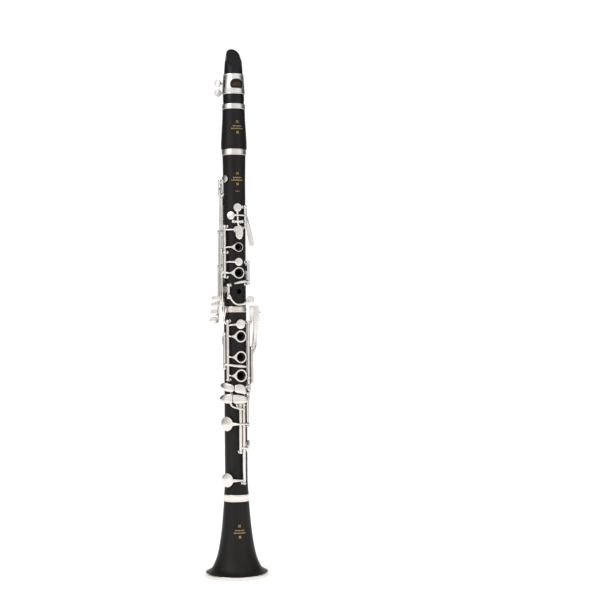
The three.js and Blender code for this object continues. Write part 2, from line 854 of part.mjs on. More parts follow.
function makeEFlatSliverKey() {
  const hinge = between(axles.e_flat_sliver_axle, 0);
  const pad = padHoles.eFlatSliver;
  return makeKey(
    hinge,
    cup(pad, upperSurface, 4.5),
    arm(armRadius, [
      [47, upperRod, pad.height],
      [62, upperRod - 0.2, pad.height],
      [pad.degrees, cupTop(pad, upperSurface) - 0.5, pad.height],
    ]),
    arm(1.3, [
      [47, upperRod, onUpper(33)],
      [30, upperRod + 0.6, onUpper(31.5)],
      [5, upperRod + 0.3, onUpper(30.2)],
      [-17, upperRod, onUpper(28.6)],
    ]),
  );
}

function makeRightRingKey() {
  const hinge = between(axles.right_stack_axle, 0);
  const pad = padHoles.rightPad;
  const rings = [
    [ringHoles.rightIndex, 7.6],
    [ringHoles.rightMiddle, 7.6],
    [ringHoles.rightRing, 8.1],
  ];
  let body = makeKey(
    hinge,
    cup(pad, lowerSurface, 6, stackLift),
    arm(armRadius, [
      [-48, lowerRod, pad.height - 1.6],
      [-28, lowerRod + 1.2, pad.height - 0.8],
      [-10, cupTop(pad, lowerSurface, stackLift) - 0.3, pad.height],
    ]),
    arm(armRadius, [
      [-48, lowerRod, underSocket(23.4)],
      [-61, lowerRod + 1.4, underSocket(19)],
      [-63, lowerRod - 0.6, underSocket(10)],
      [-64, lowerRod - 1.8, underSocket(3.6)],
    ]),
    ...rings.map(([ring, outer]) => fingerRing(ring, lowerSurface, outer)),
    ...rings.map(([ring]) => {
      const level = ringMiddle(ring, lowerSurface);
      return arm(armRadius, [
        [-48, lowerRod, ring.height + 0.8],
        [-32, level + 1, ring.height],
        [-16, level + 0.2, ring.height],
      ]);
    }),
  );
  for (const [ring] of rings) body = body.subtract(ringBore(ring, lowerSurface));
  return body;
}

function makeBNaturalSliverKey() {
  const hinge = between(axles.b_natural_sliver_axle, 0);
  const pad = padHoles.bSliver;
  return makeKey(
    hinge,
    cup(pad, lowerSurface, 5.8),
    arm(armRadius, [
      [-64, lowerRod, pad.height],
      [-78, lowerRod, pad.height],
      [pad.degrees, cupTop(pad, lowerSurface) - 0.5, pad.height],
    ]),
    arm(1.25, [
      [-64, lowerRod, underSocket(72.6)],
      [-58, lowerRod + 4, underSocket(72.7)],
      [-42, lowerRod + 5, underSocket(73)],
      [-16, lowerRod + 2.2, underSocket(74.6)],
      [4, lowerRod + 1.8, underSocket(75.2)],
      [24, lowerRod + 1.8, underSocket(75.9)],
    ]),
  );
}

const touchInner = lowerRod + 2;
const touchOuter = touchInner + plateWall;

function makeGSharpDSharpKey() {
  const hinge = between(axles.right_edge_axle, 0);
  const pad = padHoles.gSharpDSharp;
  return makeKey(
    hinge,
    cup(pad, lowerSurface, 8),
    arm(1.4, [
      [44, lowerRod, onLower(138)],
      [60, lowerRod + 0.6, onLower(133.5)],
      [74, lowerRod - 0.2, onLower(128)],
      [pad.degrees, cupTop(pad, lowerSurface) - 0.5, pad.height],
    ]),
    sector(-18.5, 18, touchInner, touchOuter, onLower(128.8), onLower(141.4)),
    arm(armRadius, [
      [44, lowerRod, onLower(138)],
      [32, touchInner - 0.2, onLower(138)],
      [16, touchInner + 0.8, onLower(137)],
    ]),
  );
}

function makeFCKey() {
  const hinge = between(axles.f_c_axle, 0);
  const pad = padHoles.fC;
  const top = cupTop(pad, lowerSurface, footLift);
  return makeKey(
    hinge,
    cup(pad, lowerSurface, 9, footLift),
    arm(1.4, [
      [35, lowerRod, pad.height + 0.6],
      [27, lowerRod + 3.9, pad.height],
      [8, lowerRod + 4.2, pad.height],
      [-10, lowerRod + 3.8, pad.height],
      [-32, top + 0.6, pad.height],
      [pad.degrees, top - 0.6, pad.height],
    ]),
    sector(-24, 25, touchInner, touchOuter, onLower(114.8), onLower(127.2)),
    arm(armRadius, [
      [35, lowerRod, onLower(121)],
      [30, touchInner - 0.4, onLower(121)],
      [22, touchInner + 0.8, onLower(121)],
    ]),
  );
}

function makeEBKey() {
  const hinge = between(axles.e_b_axle, 0);
  const pad = padHoles.eB;
  const top = cupTop(pad, lowerSurface, footLift);
  return makeKey(
    hinge,
    cup(pad, lowerSurface, 8.8, footLift),
    arm(1.4, [
      [15, lowerRod, pad.height],
      [0, lowerRod + 1.8, pad.height],
      [-28, top + 0.4, pad.height],
      [pad.degrees, top - 0.6, pad.height],
    ]),
    arm(armRadius, [
      [15, lowerRod, onLower(107)],
      [8, lowerRod + 3.8, onLower(107.5)],
      [-12, lowerRod + 3.8, onLower(109)],
      [-29, touchInner + 0.6, onLower(111.5)],
      [-37, touchInner + 0.7, onLower(117)],
    ]),
    sector(-80, -28, touchInner, touchOuter, onLower(114.8), onLower(127.2)),
  );
}

function makeFSharpCSharpKey() {
  const hinge = between(axles.f_sharp_c_sharp_axle, 0);
  const pad = padHoles.fSharpCSharp;
  return makeKey(
    hinge,
    cup(pad, lowerSurface, 8.5),
    arm(1.4, [
      [1, lowerRod, pad.height],
      [8, lowerRod + 3.8, pad.height],
      [22, lowerRod + 3.6, pad.height],
      [38, lowerRod + 0.8, pad.height],
      [pad.degrees, cupTop(pad, lowerSurface) - 0.6, pad.height],
    ]),
    arm(armRadius, [
      [1, lowerRod, onLower(106)],
      [-9, lowerRod - 0.6, onLower(109.5)],
      [-14, lowerRod - 1.6, onLower(114)],
      [-26, lowerRod - 1.8, onLower(121)],
      [-33, lowerRod - 1.4, onLower(126.5)],
      [-36, touchInner + 0.5, onLower(131.5)],
    ]),
    sector(-69, -28, touchInner, touchOuter, onLower(128.8), onLower(141.4)),
  );
}

function makeInnerLever() {
  const hinge = between(axles.right_edge_axle, 1);
  return makeKey(
    hinge,
    arm(1.4, [
      [44, lowerRod, onLower(210.6)],
      [54, lowerRod + 2.2, onLower(215.6)],
      [55, lowerRod + 3.2, underSocket(12)],
      [55, lowerRod + 3.2, underSocket(0.6)],
    ]),
  );
}

function makeMiddleLever() {
  const hinge = between(axles.middle_lever_axle, 0);
  return makeKey(
    hinge,
    arm(1.4, [
      [66, lowerRod + 2, onLower(175)],
      [75, lowerRod + 5.8, onLower(182)],
      [68, lowerRod + 6.4, onLower(206)],
      [66, lowerRod + 6.8, underSocket(-1)],
    ]),
  );
}

function makeOuterLever() {
  const hinge = between(axles.outer_lever_axle, 0);
  return makeKey(
    hinge,
    arm(1.4, [
      [88, lowerRod + 1.5, onLower(172)],
      [97, lowerRod + 4.5, onLower(177)],
      [96, lowerRod + 6.5, onLower(187)],
      [90, lowerRod + 9, onLower(206)],
      [83, lowerRod + 12.4, underSocket(6)],
    ]),
  );
}

// ---------------------------------------------------------------- thumb rest
// A plate screwed to the back of the lower joint, with a hook for the right thumb.
function makeThumbRest() {
  const low = onLower(152);
  const high = onLower(178);
  const seat = lowerRadius + gap;
  const plate = sector(163, 197, seat, seat + 1.8, low, high);
  const hook = box([-5.5, seat + 0.8, low + 3], [5.5, seat + 16, low + 6]);
  const lip = box([-5.5, seat + 14, low + 1], [5.5, seat + 16, low + 6]);
  return joined(plate, hook, lip);
}

// ---------------------------------------------------------------- materials and the assembly
const finish = (color, roughness, metalness) => ({ color, roughness, metalness });
const grenadilla = finish(0x1c1512, 0.42, 0);
const ebonite = finish(0x0c0c0d, 0.3, 0);
const silver = finish(0xd9cfc0, 0.22, 1);
const nickel = finish(0xc9c9c6, 0.26, 1);
const steel = finish(0x9a9b9e, 0.3, 1);
const cane = finish(0xd8bd82, 0.62, 0);
const cork = finish(0xb98f62, 0.9, 0);

const clarinet = new THREE.Group();

function place(name, piece, look) {
  const { numProp, vertProperties, triVerts } = piece.getMesh();
  const position = new THREE.BufferAttribute(vertProperties, numProp);
  const geometry = new THREE.BufferGeometry().setAttribute("position", position);
  geometry.setIndex(new THREE.BufferAttribute(triVerts, 1));
  geometry.computeVertexNormals();
  const mesh = new THREE.Mesh(geometry, new THREE.MeshStandardMaterial(look));
  mesh.name = name;
  clarinet.add(mesh);
}

place("bell", makeBell(), grenadilla);
place("lower_joint", makeLowerJoint(), grenadilla);
place("upper_joint", makeUpperJoint(), grenadilla);
place("barrel", makeBarrel(), grenadilla);
place("mouthpiece", makeMouthpiece(), ebonite);
place("reed", makeReed(), cane);
place("ligature", makeLigature(), nickel);
place("ligature_screw_lower", makeLigatureScrew(screwHeights[0]), nickel);
place("ligature_screw_upper", makeLigatureScrew(screwHeights[1]), nickel);

place("bell_rim_ring", makeRimRing(), silver);
place("bell_socket_ring", makeRing(bellRing.radius, bellTop - bellRing.length, bellTop - gap), silver);
place("middle_ring", makeRing(middleRing.radius, lowerTop - middleRing.length, lowerTop - gap), silver);
place(
  "barrel_bottom_ring",
  makeRing(barrelBottomRing.radius, upperTop + gap, upperTop + barrelBottomRing.length),
  silver,
);
place(
  "barrel_top_ring",
  makeRing(barrelTopRing.radius, barrelTop - barrelTopRing.length, barrelTop - gap),
  silver,
);
place("lower_joint_cork", makeCork(bellTop + gap, -1, bellTenonLength), cork);
place("upper_joint_foot_cork", makeCork(lowerTop, -1, tenonLength), cork);
place("upper_joint_top_cork", makeCork(upperTop, 1, tenonLength), cork);
place("mouthpiece_cork", makeCork(barrelTop, -1, tenonLength), cork);
place("thumb_rest", makeThumbRest(), silver);

for (const [name, axle] of Object.entries(axles)) place(name, makeAxle(axle), steel);

place("register_key", makeRegisterKey(), silver);
place("throat_a_key", makeThroatAKey(), silver);
place("throat_g_sharp_key", makeThroatGSharpKey(), silver);
place("trill_key_upper", makeTrillUpperKey(), silver);
place("trill_key_lower", makeSideKey(padHoles.trillLower, 4.7, 2, -85, onUpper(1.6), 7), silver);
place("side_e_flat_key", makeSideKey(padHoles.sideEFlat, 4.1, 1, -94, underSocket(8), 8), silver);
place("side_f_sharp_key", makeSideKey(padHoles.sideFSharp, 4.1, 0, -103, underSocket(17.7), 8), silver);
place("left_index_ring_key", makeLeftIndexKey(), silver);
place("thumb_ring_key", makeThumbRingKey(), silver);
place("left_bridge_key", makeLeftBridgeKey(), silver);
place("c_sharp_g_sharp_key", makeCSharpGSharpKey(), silver);
place("e_flat_sliver_key", makeEFlatSliverKey(), silver);
place("right_ring_key", makeRightRingKey(), silver);
place("b_natural_sliver_key", makeBNaturalSliverKey(), silver);
place("g_sharp_d_sharp_key", makeGSharpDSharpKey(), silver);
place("f_c_key", makeFCKey(), silver);
place("e_b_key", makeEBKey(), silver);
place("f_sharp_c_sharp_key", makeFSharpCSharpKey(), silver);
place("left_lever_inner", makeInnerLever(), silver);
place("left_lever_middle", makeMiddleLever(), silver);
place("left_lever_outer", makeOuterLever(), silver);

export default clarinet;
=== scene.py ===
# A B-flat clarinet of the Boehm system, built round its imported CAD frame. Lengths are in millimetres
# until a mesh is made. A place round the bore is an angle in degrees from the front (-Y), growing
# towards +X, a distance from the bore's axis and a height above the bell's rim.
import math

import bmesh
import bpy
from mathutils import Matrix, Vector


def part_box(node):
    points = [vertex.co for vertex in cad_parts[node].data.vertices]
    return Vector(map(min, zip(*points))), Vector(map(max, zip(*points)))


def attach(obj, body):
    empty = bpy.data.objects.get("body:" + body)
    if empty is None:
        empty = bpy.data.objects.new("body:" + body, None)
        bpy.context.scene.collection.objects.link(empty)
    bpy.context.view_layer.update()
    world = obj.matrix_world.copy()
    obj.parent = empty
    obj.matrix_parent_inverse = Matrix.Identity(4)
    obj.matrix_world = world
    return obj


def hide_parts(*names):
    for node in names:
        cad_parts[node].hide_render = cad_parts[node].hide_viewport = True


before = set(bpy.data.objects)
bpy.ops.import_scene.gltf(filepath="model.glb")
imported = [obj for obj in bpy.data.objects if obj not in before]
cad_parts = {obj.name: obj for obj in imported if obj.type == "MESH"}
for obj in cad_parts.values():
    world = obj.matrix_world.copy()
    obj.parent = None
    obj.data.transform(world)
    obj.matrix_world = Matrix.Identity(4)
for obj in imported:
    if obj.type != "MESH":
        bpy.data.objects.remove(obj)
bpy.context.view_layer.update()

MM = 0.001
CAMERA_AZIMUTH = -17.5
CAMERA_HEIGHT = 346.8
CAMERA_DISTANCE = 1650
PICTURE_WIDTH = 760.8  # width of the view at the bore's distance
ASIDE = 82.4  # how far left of the view's middle the instrument stands
LEAN = 0.43  # degrees by which the instrument leans in the view


# ---------------------------------------------------------------- stations, from the frame
def low_corner(node):
    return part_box(node)[0] / MM


def high_corner(node):
    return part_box(node)[1] / MM


GAP = 0.3
BELL_TOP = high_corner("bell_socket_ring").z + GAP
LOWER_TOP = high_corner("middle_ring").z + GAP
UPPER_TOP = low_corner("barrel_bottom_ring").z - GAP
BARREL_TOP = high_corner("barrel_top_ring").z + GAP
TIP_TOP = high_corner("mouthpiece").z
RIM_RADIUS = high_corner("bell_rim_ring").x

BORE = 7.4
LOWER_RADIUS = 14.3
UPPER_RADIUS = 14.1
TENON_RADIUS = 11.3
SOCKET_RADIUS = TENON_RADIUS + 0.2 + GAP
CORK_WALL = 1
TENON_LENGTH = 16.5
BELL_TENON_LENGTH = 20.5
CORK_LENGTH = 11
SOCKET_FLOOR = 0.8

ROD = 1
TUBE = 1.9
TUBE_BORE = ROD + GAP
STEM = 1.1
STEM_DEPTH = 2.6
BALL = 2.3
HEAD_HALF = 1.6
ROD_LIFT = 4.3
STACK_LIFT = 1.7
FOOT_LIFT = 2.4
CUP_HEIGHT = 2.2
PLATE = 1.6
RING_RISE = 1.4
RING_STAND = 0.4
RING_CLEARANCE = 1
RING_PLATE = 1.3
LOWER_ROD = LOWER_RADIUS + ROD_LIFT
UPPER_ROD = UPPER_RADIUS + ROD_LIFT
LEVER_RADIUS = UPPER_RADIUS + 7.3
TOUCH_INNER = LOWER_ROD + 2
TOUCH_OUTER = TOUCH_INNER + PLATE


def on_lower(distance):
    return BELL_TOP + distance


def under_socket(distance):
    return LOWER_TOP - distance


def on_upper(distance):
    return LOWER_TOP + distance


def table_radius(table, height):
    """Straight-line reading of a table of (height, radius) rows that climbs in height."""
    if height <= table[0][0]:
        return table[0][1]
    for (z0, r0), (z1, r1) in zip(table, table[1:]):
        if height <= z1:
            return r0 + (r1 - r0) * (height - z0) / (z1 - z0)
    return table[-1][1]


LOWER_PROFILE = [
    (BELL_TOP, LOWER_RADIUS + 1.2),
    (on_lower(14), LOWER_RADIUS + 0.2),
    (on_lower(100), LOWER_RADIUS),
    (LOWER_TOP, LOWER_RADIUS - 0.1),
]
UPPER_PROFILE = [
    (LOWER_TOP, UPPER_RADIUS - 0.2),
    (on_upper(60), UPPER_RADIUS - 0.1),
    (on_upper(160), UPPER_RADIUS),
    (UPPER_TOP, UPPER_RADIUS + 0.5),
]


def lower_surface(height):
    return table_radius(LOWER_PROFILE, height)


def upper_surface(height):
    return table_radius(UPPER_PROFILE, height)


# ---------------------------------------------------------------- places and curves
def radial(degrees):
    angle = math.radians(degrees)
    return Vector((math.sin(angle), -math.cos(angle), 0))


def across(degrees):
    angle = math.radians(degrees)
    return Vector((math.cos(angle), math.sin(angle), 0))


def polar(degrees, radius, height):
    return radial(degrees) * radius + Vector((0, 0, height))


def beside(degrees, radius, height, sideways, up=0):
    """The place that lies sideways, in mm, from a place on the flat that faces out there."""
    turn = math.degrees(math.atan2(sideways, radius))
    return (degrees + turn, math.hypot(radius, sideways), height + up)


def spline(points, steps, closed=False):
    """Centripetal Catmull-Rom curve through the points, and each point's place along it."""
    count = len(points)
    spans = count if closed else count - 1
    result = []
    for i in range(spans):
        p1, p2 = points[i], points[(i + 1) % count]
        p0 = points[i - 1] if closed or i else p1 * 2 - p2
        p3 = points[(i + 2) % count] if closed or i + 2 < count else p2 * 2 - p1
        d0, d1, d2 = [max((b - a).length, 1e-4) ** 0.5 for a, b in ((p0, p1), (p1, p2), (p2, p3))]
        t1 = ((p1 - p0) / d0 - (p2 - p0) / (d0 + d1) + (p2 - p1) / d1) * d1
        t2 = ((p2 - p1) / d1 - (p3 - p1) / (d1 + d2) + (p3 - p2) / d2) * d1
        for k in range(steps):
            t = k / steps
            point = (
                p1 * (2 * t**3 - 3 * t**2 + 1)
                + t1 * (t**3 - 2 * t**2 + t)
                + p2 * (3 * t**2 - 2 * t**3)
                + t2 * (t**3 - t**2)
            )
            result.append((point, i + t))
    if not closed:
        result.append((points[-1], spans))
    return result


def smooth(pairs, steps=6, closed=True):
    """A smooth outline through a few (x, y) pairs."""
    curve = spline([Vector((x, y, 0)) for x, y in pairs], steps, closed)
    return [(point.x, point.y) for point, _ in curve]


def superellipse(half_x, half_y, power=2.0, corners=40):
    result = []
    for i in range(corners):
        c, s = math.cos(2 * math.pi * i / corners), math.sin(2 * math.pi * i / corners)
        result.append(
            (
                half_x * math.copysign(abs(c) ** (2 / power), c),
                half_y * math.copysign(abs(s) ** (2 / power), s),
            )
        )
    return result


def mixed(values, t):
    """A value between the rows of a list, or the number itself."""
    if isinstance(values, (int, float)):
        return values
    i = min(int(t), len(values) - 2)
    return values[i] + (values[i + 1] - values[i]) * (t - i)


# ---------------------------------------------------------------- closed shells
# A shell is a list of points and a list of faces.
def lathe(outline, segments=96):
    """A shell turned about the Z axis from a closed outline of (radius, height) pairs."""
    points, rings = [], []
    for radius, height in outline:
        if radius < 1e-4:
            rings.append([len(points)] * segments)
            points.append(Vector((0, 0, height)))
            continue
        rings.append(list(range(len(points), len(points) + segments)))
        for i in range(segments):
            angle = 2 * math.pi * i / segments
            points.append(Vector((radius * math.cos(angle), radius * math.sin(angle), height)))
    faces = []
    for ring, after in zip(rings, rings[1:] + rings[:1]):
        for i in range(segments):
            j = (i + 1) % segments
            face = list(dict.fromkeys((ring[i], ring[j], after[j], after[i])))
            if len(face) > 2:
                faces.append(face)
    return points, faces


def moved(shell, origin, axis):
    """A shell with its Z axis turned to the given axis and its origin set down at a point."""
    turn = axis.to_track_quat("Z", "Y").to_matrix()
    points, faces = shell
    return [turn @ point + origin for point in points], faces


def bar(radius, start, end, segments=20, chamfer=0.0):
    length = (end - start).length
    outline = [(0, 0), (radius - chamfer, 0), (radius, chamfer)]
    outline += [(radius, length - chamfer), (radius - chamfer, length), (0, length)]
    return moved(lathe(outline, segments), start, end - start)


def tube_faces(rows, sides):
    """Faces between equal rows of points, and fans to the two tips that follow them."""
    faces = []
    for row in range(rows - 1):
        a, b = row * sides, (row + 1) * sides
        faces += [[a + i, a + (i + 1) % sides, b + (i + 1) % sides, b + i] for i in range(sides)]
    for tip, row in ((rows * sides, 0), (rows * sides + 1, rows - 1)):
        a = row * sides
        faces += [[a + i, a + (i + 1) % sides, tip] for i in range(sides)]
    return faces


def sweep(places, half_width, half_depth, steps=8, sides=18, power=2.3, turn=0.0):
    """A bent bar with round ends. Its depth points away from the bore, turned by an angle."""
    curve = spline([polar(*place) for place in places], steps)
    centres = [point for point, _ in curve]
    rows = []
    for i, (centre, t) in enumerate(curve):
        tangent = (centres[min(i + 1, len(centres) - 1)] - centres[max(i - 1, 0)]).normalized()
        outward = Vector((centre.x, centre.y, 0)).normalized()
        outward = (outward - tangent * outward.dot(tangent)).normalized()
        side = tangent.cross(outward)
        lean = math.radians(mixed(turn, t))
        outward, side = (
            outward * math.cos(lean) + side * math.sin(lean),
            side * math.cos(lean) - outward * math.sin(lean),
        )
        rows.append((centre, tangent, outward, side, mixed(half_width, t), mixed(half_depth, t)))
    sections = []
    for end in (0, -1):
        centre, tangent, outward, side, width, depth = rows[end]
        away = tangent if end else -tangent
        cap = []
        for angle in (25, 50, 75):
            shrink = math.cos(math.radians(angle))
            out = centre + away * (width * math.sin(math.radians(angle)))
            cap.append((out, outward, side, width * shrink, depth * (0.35 + 0.65 * shrink)))
        tip = centre + away * width
        sections.append((cap, tip))
    (start_cap, start_tip), (end_cap, end_tip) = sections
    body = [(centre, outward, side, width, depth) for centre, _, outward, side, width, depth in rows]
    loops = start_cap[::-1] + body + end_cap
    points = []
    for centre, outward, side, width, depth in loops:
        for u, v in superellipse(width, depth, power, sides):
            points.append(centre + side * u + outward * v)
    return [*points, start_tip, end_tip], tube_faces(len(loops), sides)


def pillow(outline, place, low, high, edge=0.35, crown=0.0):
    """A plate with rounded edges: an outline seen from its middle, a function that puts a point
    (along, up, depth) in space, its two depths and how far its top is crowned."""
    middle_x = sum(x for x, _ in outline) / len(outline)
    middle_y = sum(y for _, y in outline) / len(outline)
    reach = min(math.hypot(x - middle_x, y - middle_y) for x, y in outline)
    arc = [math.radians(angle) for angle in (0, 30, 60, 90)]
    rims = [(edge * (1 - math.cos(a)) / reach, low + edge * (1 - math.sin(a))) for a in arc[::-1]]
    rims += [(edge * (1 - math.cos(a)) / reach, high - edge * (1 - math.sin(a))) for a in arc]
    inner = 1 - edge / reach
    loops = [(share * inner, low) for share in (0.3, 0.6, 0.85)]
    loops += [(1 - inset, depth) for inset, depth in rims]
    loops += [(share * inner, high + crown * (1 - share**2)) for share in (0.85, 0.6, 0.3)]
    points = []
    for share, depth in loops:
        for x, y in outline:
            along, up = middle_x + (x - middle_x) * share, middle_y + (y - middle_y) * share
            points.append(place(along, up, depth))
    points += [place(middle_x, middle_y, depth) for depth in (low, high + crown)]
    return points, tube_faces(len(loops), len(outline))


def flat_at(degrees, height):
    """Places for a flat plate that faces out at an angle."""
    return lambda along, up, depth: (
        radial(degrees) * depth + across(degrees) * along + Vector((0, 0, height + up))
    )


def curved_at(degrees, radius):
    """Places for a plate that bends round the bore."""
    return lambda along, up, depth: polar(degrees + math.degrees(along / radius), depth, up)


def merged(*shells):
    """Shells that don't touch, as one."""
    points, faces = [], []
    for shell_points, shell_faces in shells:
        faces += [[index + len(points) for index in face] for face in shell_faces]
        points += shell_points
    return points, faces


# ---------------------------------------------------------------- materials
def node_of(tree, kind, **values):
    node = tree.nodes.new(kind)
    for name, value in values.items():
        node.inputs[name.replace("_", " ")].default_value = value
    return node


def surface(
    name, dark, light, rough, metallic=0.0, stretch=(1, 1, 1), grain=400, bump=0.05, gloss=0.5
):
    """A material whose colour, roughness and fine relief all follow stretched noise."""
    material = bpy.data.materials.new(name)
    material.use_nodes = True
    tree = material.node_tree
    shader = tree.nodes["Principled BSDF"]
    shader.inputs["Metallic"].default_value = metallic
    shader.inputs["Specular IOR Level"].default_value = gloss
    place = tree.nodes.new("ShaderNodeTexCoord")
    mapping = tree.nodes.new("ShaderNodeMapping")
    mapping.inputs["Scale"].default_value = stretch
    tree.links.new(place.outputs["Object"], mapping.inputs["Vector"])
    fine = node_of(tree, "ShaderNodeTexNoise", Scale=grain, Detail=6, Roughness=0.6)
    broad = node_of(tree, "ShaderNodeTexNoise", Scale=grain / 9, Detail=3)
    for noise in (fine, broad):
        tree.links.new(mapping.outputs["Vector"], noise.inputs["Vector"])
    ramp = tree.nodes.new("ShaderNodeValToRGB")
    ramp.color_ramp.elements[0].position = 0.36
    ramp.color_ramp.elements[0].color = (*dark, 1)
    ramp.color_ramp.elements[1].position = 0.66
    ramp.color_ramp.elements[1].color = (*light, 1)
    blend = tree.nodes.new("ShaderNodeMath")
    blend.operation = "MULTIPLY_ADD"
    blend.inputs[1].default_value = 0.5
    half = tree.nodes.new("ShaderNodeMath")
    half.operation = "MULTIPLY"
    half.inputs[1].default_value = 0.5
    tree.links.new(broad.outputs["Fac"], half.inputs[0])
    tree.links.new(fine.outputs["Fac"], blend.inputs[0])
    tree.links.new(half.outputs[0], blend.inputs[2])
    tree.links.new(blend.outputs[0], ramp.inputs["Fac"])
    tree.links.new(ramp.outputs["Color"], shader.inputs["Base Color"])
    spread = node_of(tree, "ShaderNodeMapRange", From_Min=0.3, From_Max=0.7)
    spread.inputs["To Min"].default_value, spread.inputs["To Max"].default_value = rough
    tree.links.new(broad.outputs["Fac"], spread.inputs["Value"])
    tree.links.new(spread.outputs["Result"], shader.inputs["Roughness"])
    relief = node_of(tree, "ShaderNodeBump", Strength=bump, Distance=0.0002)
    tree.links.new(fine.outputs["Fac"], relief.inputs["Height"])
    tree.links.new(relief.outputs["Normal"], shader.inputs["Normal"])
    return material


GRENADILLA = surface(
    "grenadilla", (0.004, 0.003, 0.003), (0.014, 0.010, 0.010), (0.36, 0.5),
    stretch=(1, 1, 0.035), grain=1500, bump=0.2, gloss=0.22,
)
EBONITE = surface(
    "ebonite", (0.003, 0.003, 0.004), (0.007, 0.007, 0.008), (0.2, 0.32),
    grain=500, bump=0.03, gloss=0.25,
)
SILVER = surface(
    "silver_plate", (0.78, 0.73, 0.68), (0.90, 0.86, 0.81), (0.12, 0.24), 1.0, grain=700, bump=0.04
)
NICKEL = surface(
    "nickel", (0.80, 0.79, 0.76), (0.90, 0.89, 0.87), (0.16, 0.28), 1.0,
    stretch=(1, 1, 0.05), grain=1200, bump=0.06,
)
STEEL = surface(
    "turned_steel", (0.74, 0.72, 0.69), (0.88, 0.86, 0.83), (0.16, 0.3), 1.0,
    stretch=(1, 1, 6), grain=900, bump=0.05,
)
CANE = surface(
    "cane", (0.50, 0.33, 0.13), (0.72, 0.55, 0.30), (0.45, 0.6),
    stretch=(1, 1, 0.03), grain=1800, bump=0.3,
)
CORK = surface("cork", (0.30, 0.17, 0.08), (0.58, 0.38, 0.21), (0.7, 0.9), grain=900, bump=0.5)
PAD_SKIN = surface(
    "pad_skin", (0.62, 0.54, 0.42), (0.82, 0.76, 0.64), (0.45, 0.6), grain=600, bump=0.15
)
BLUED_STEEL = surface(
    "blued_steel", (0.02, 0.03, 0.07), (0.05, 0.07, 0.14), (0.25, 0.35), 1.0, grain=1500
)
DULL_GOLD = surface(
    "dull_gold", (0.10, 0.05, 0.02), (0.22, 0.13, 0.05), (0.4, 0.55), 0.6, grain=1500, bump=0.3
)
GOLD_LEAF = surface(
    "gold_leaf", (0.42, 0.27, 0.10), (0.75, 0.55, 0.26), (0.35, 0.5), 0.9, grain=1500, bump=0.3
)
ENAMEL = surface(
    "dark_enamel", (0.006, 0.003, 0.002), (0.02, 0.010, 0.006), (0.3, 0.45),
    grain=900, bump=0.2, gloss=0.25,
)


# ---------------------------------------------------------------- pieces
def mesh_object(name, shell):
    points, faces = shell
    mesh = bpy.data.meshes.new(name)
    mesh.from_pydata([point * MM for point in points], [], faces)
    work = bmesh.new()
    work.from_mesh(mesh)
    bmesh.ops.recalc_face_normals(work, faces=work.faces)
    work.to_mesh(mesh)
    work.free()
    made = bpy.data.objects.new(name, mesh)
    bpy.context.collection.objects.link(made)
    return made


def piece(
    name, shells, cuts=(), within=(), body="instrument", material=SILVER,
    nodes=(), crease=32,
):
    """One solid piece: its shells joined, its cuts taken away and the rest kept within outlines."""
    made = mesh_object(name, shells[0])
    tools = [("UNION", shell) for shell in shells[1:]] + [("DIFFERENCE", shell) for shell in cuts]
    tools += [("INTERSECT", shell) for shell in within]
    helpers = []
    for operation, shell in tools:
        helper = mesh_object(name + "_tool", shell)
        helpers.append(helper)
        modifier = made.modifiers.new("join", "BOOLEAN")
        modifier.operation = operation
        modifier.solver = "MANIFOLD"
        modifier.object = helper
    if helpers:
        bpy.context.view_layer.update()
        shape = made.evaluated_get(bpy.context.evaluated_depsgraph_get())
        joined = bpy.data.meshes.new_from_object(shape)
        made.modifiers.clear()
        made.data = joined
        for helper in helpers:
            bpy.data.objects.remove(helper)
    soften(made.data, crease)
    made.data.materials.clear()
    made.data.materials.append(material)
    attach(made, body)
    if nodes:
        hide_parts(*nodes)
    return made


def soften(mesh, crease):
    """Smooth shading everywhere but at edges sharper than the given angle."""
    work = bmesh.new()
    work.from_mesh(mesh)
    bmesh.ops.remove_doubles(work, verts=work.verts, dist=1e-7)
    for face in work.faces:
        face.smooth = True
    for edge in work.edges:
        edge.smooth = len(edge.link_faces) == 2 and edge.calc_face_angle(0) < math.radians(crease)
    work.to_mesh(mesh)
    work.free()


# ---------------------------------------------------------------- axles
def along_bore(surface_of, degrees, radius, heights):
    return surface_of, [(degrees, radius, height) for height in heights]


def across_bore(surface_of, height, radius, angles):
    return surface_of, [(degrees, radius, height) for degrees in angles]


def upper_heights(*distances):
    return [on_upper(distance) for distance in distances]


def lower_heights(*distances):
    return [on_lower(distance) for distance in distances]


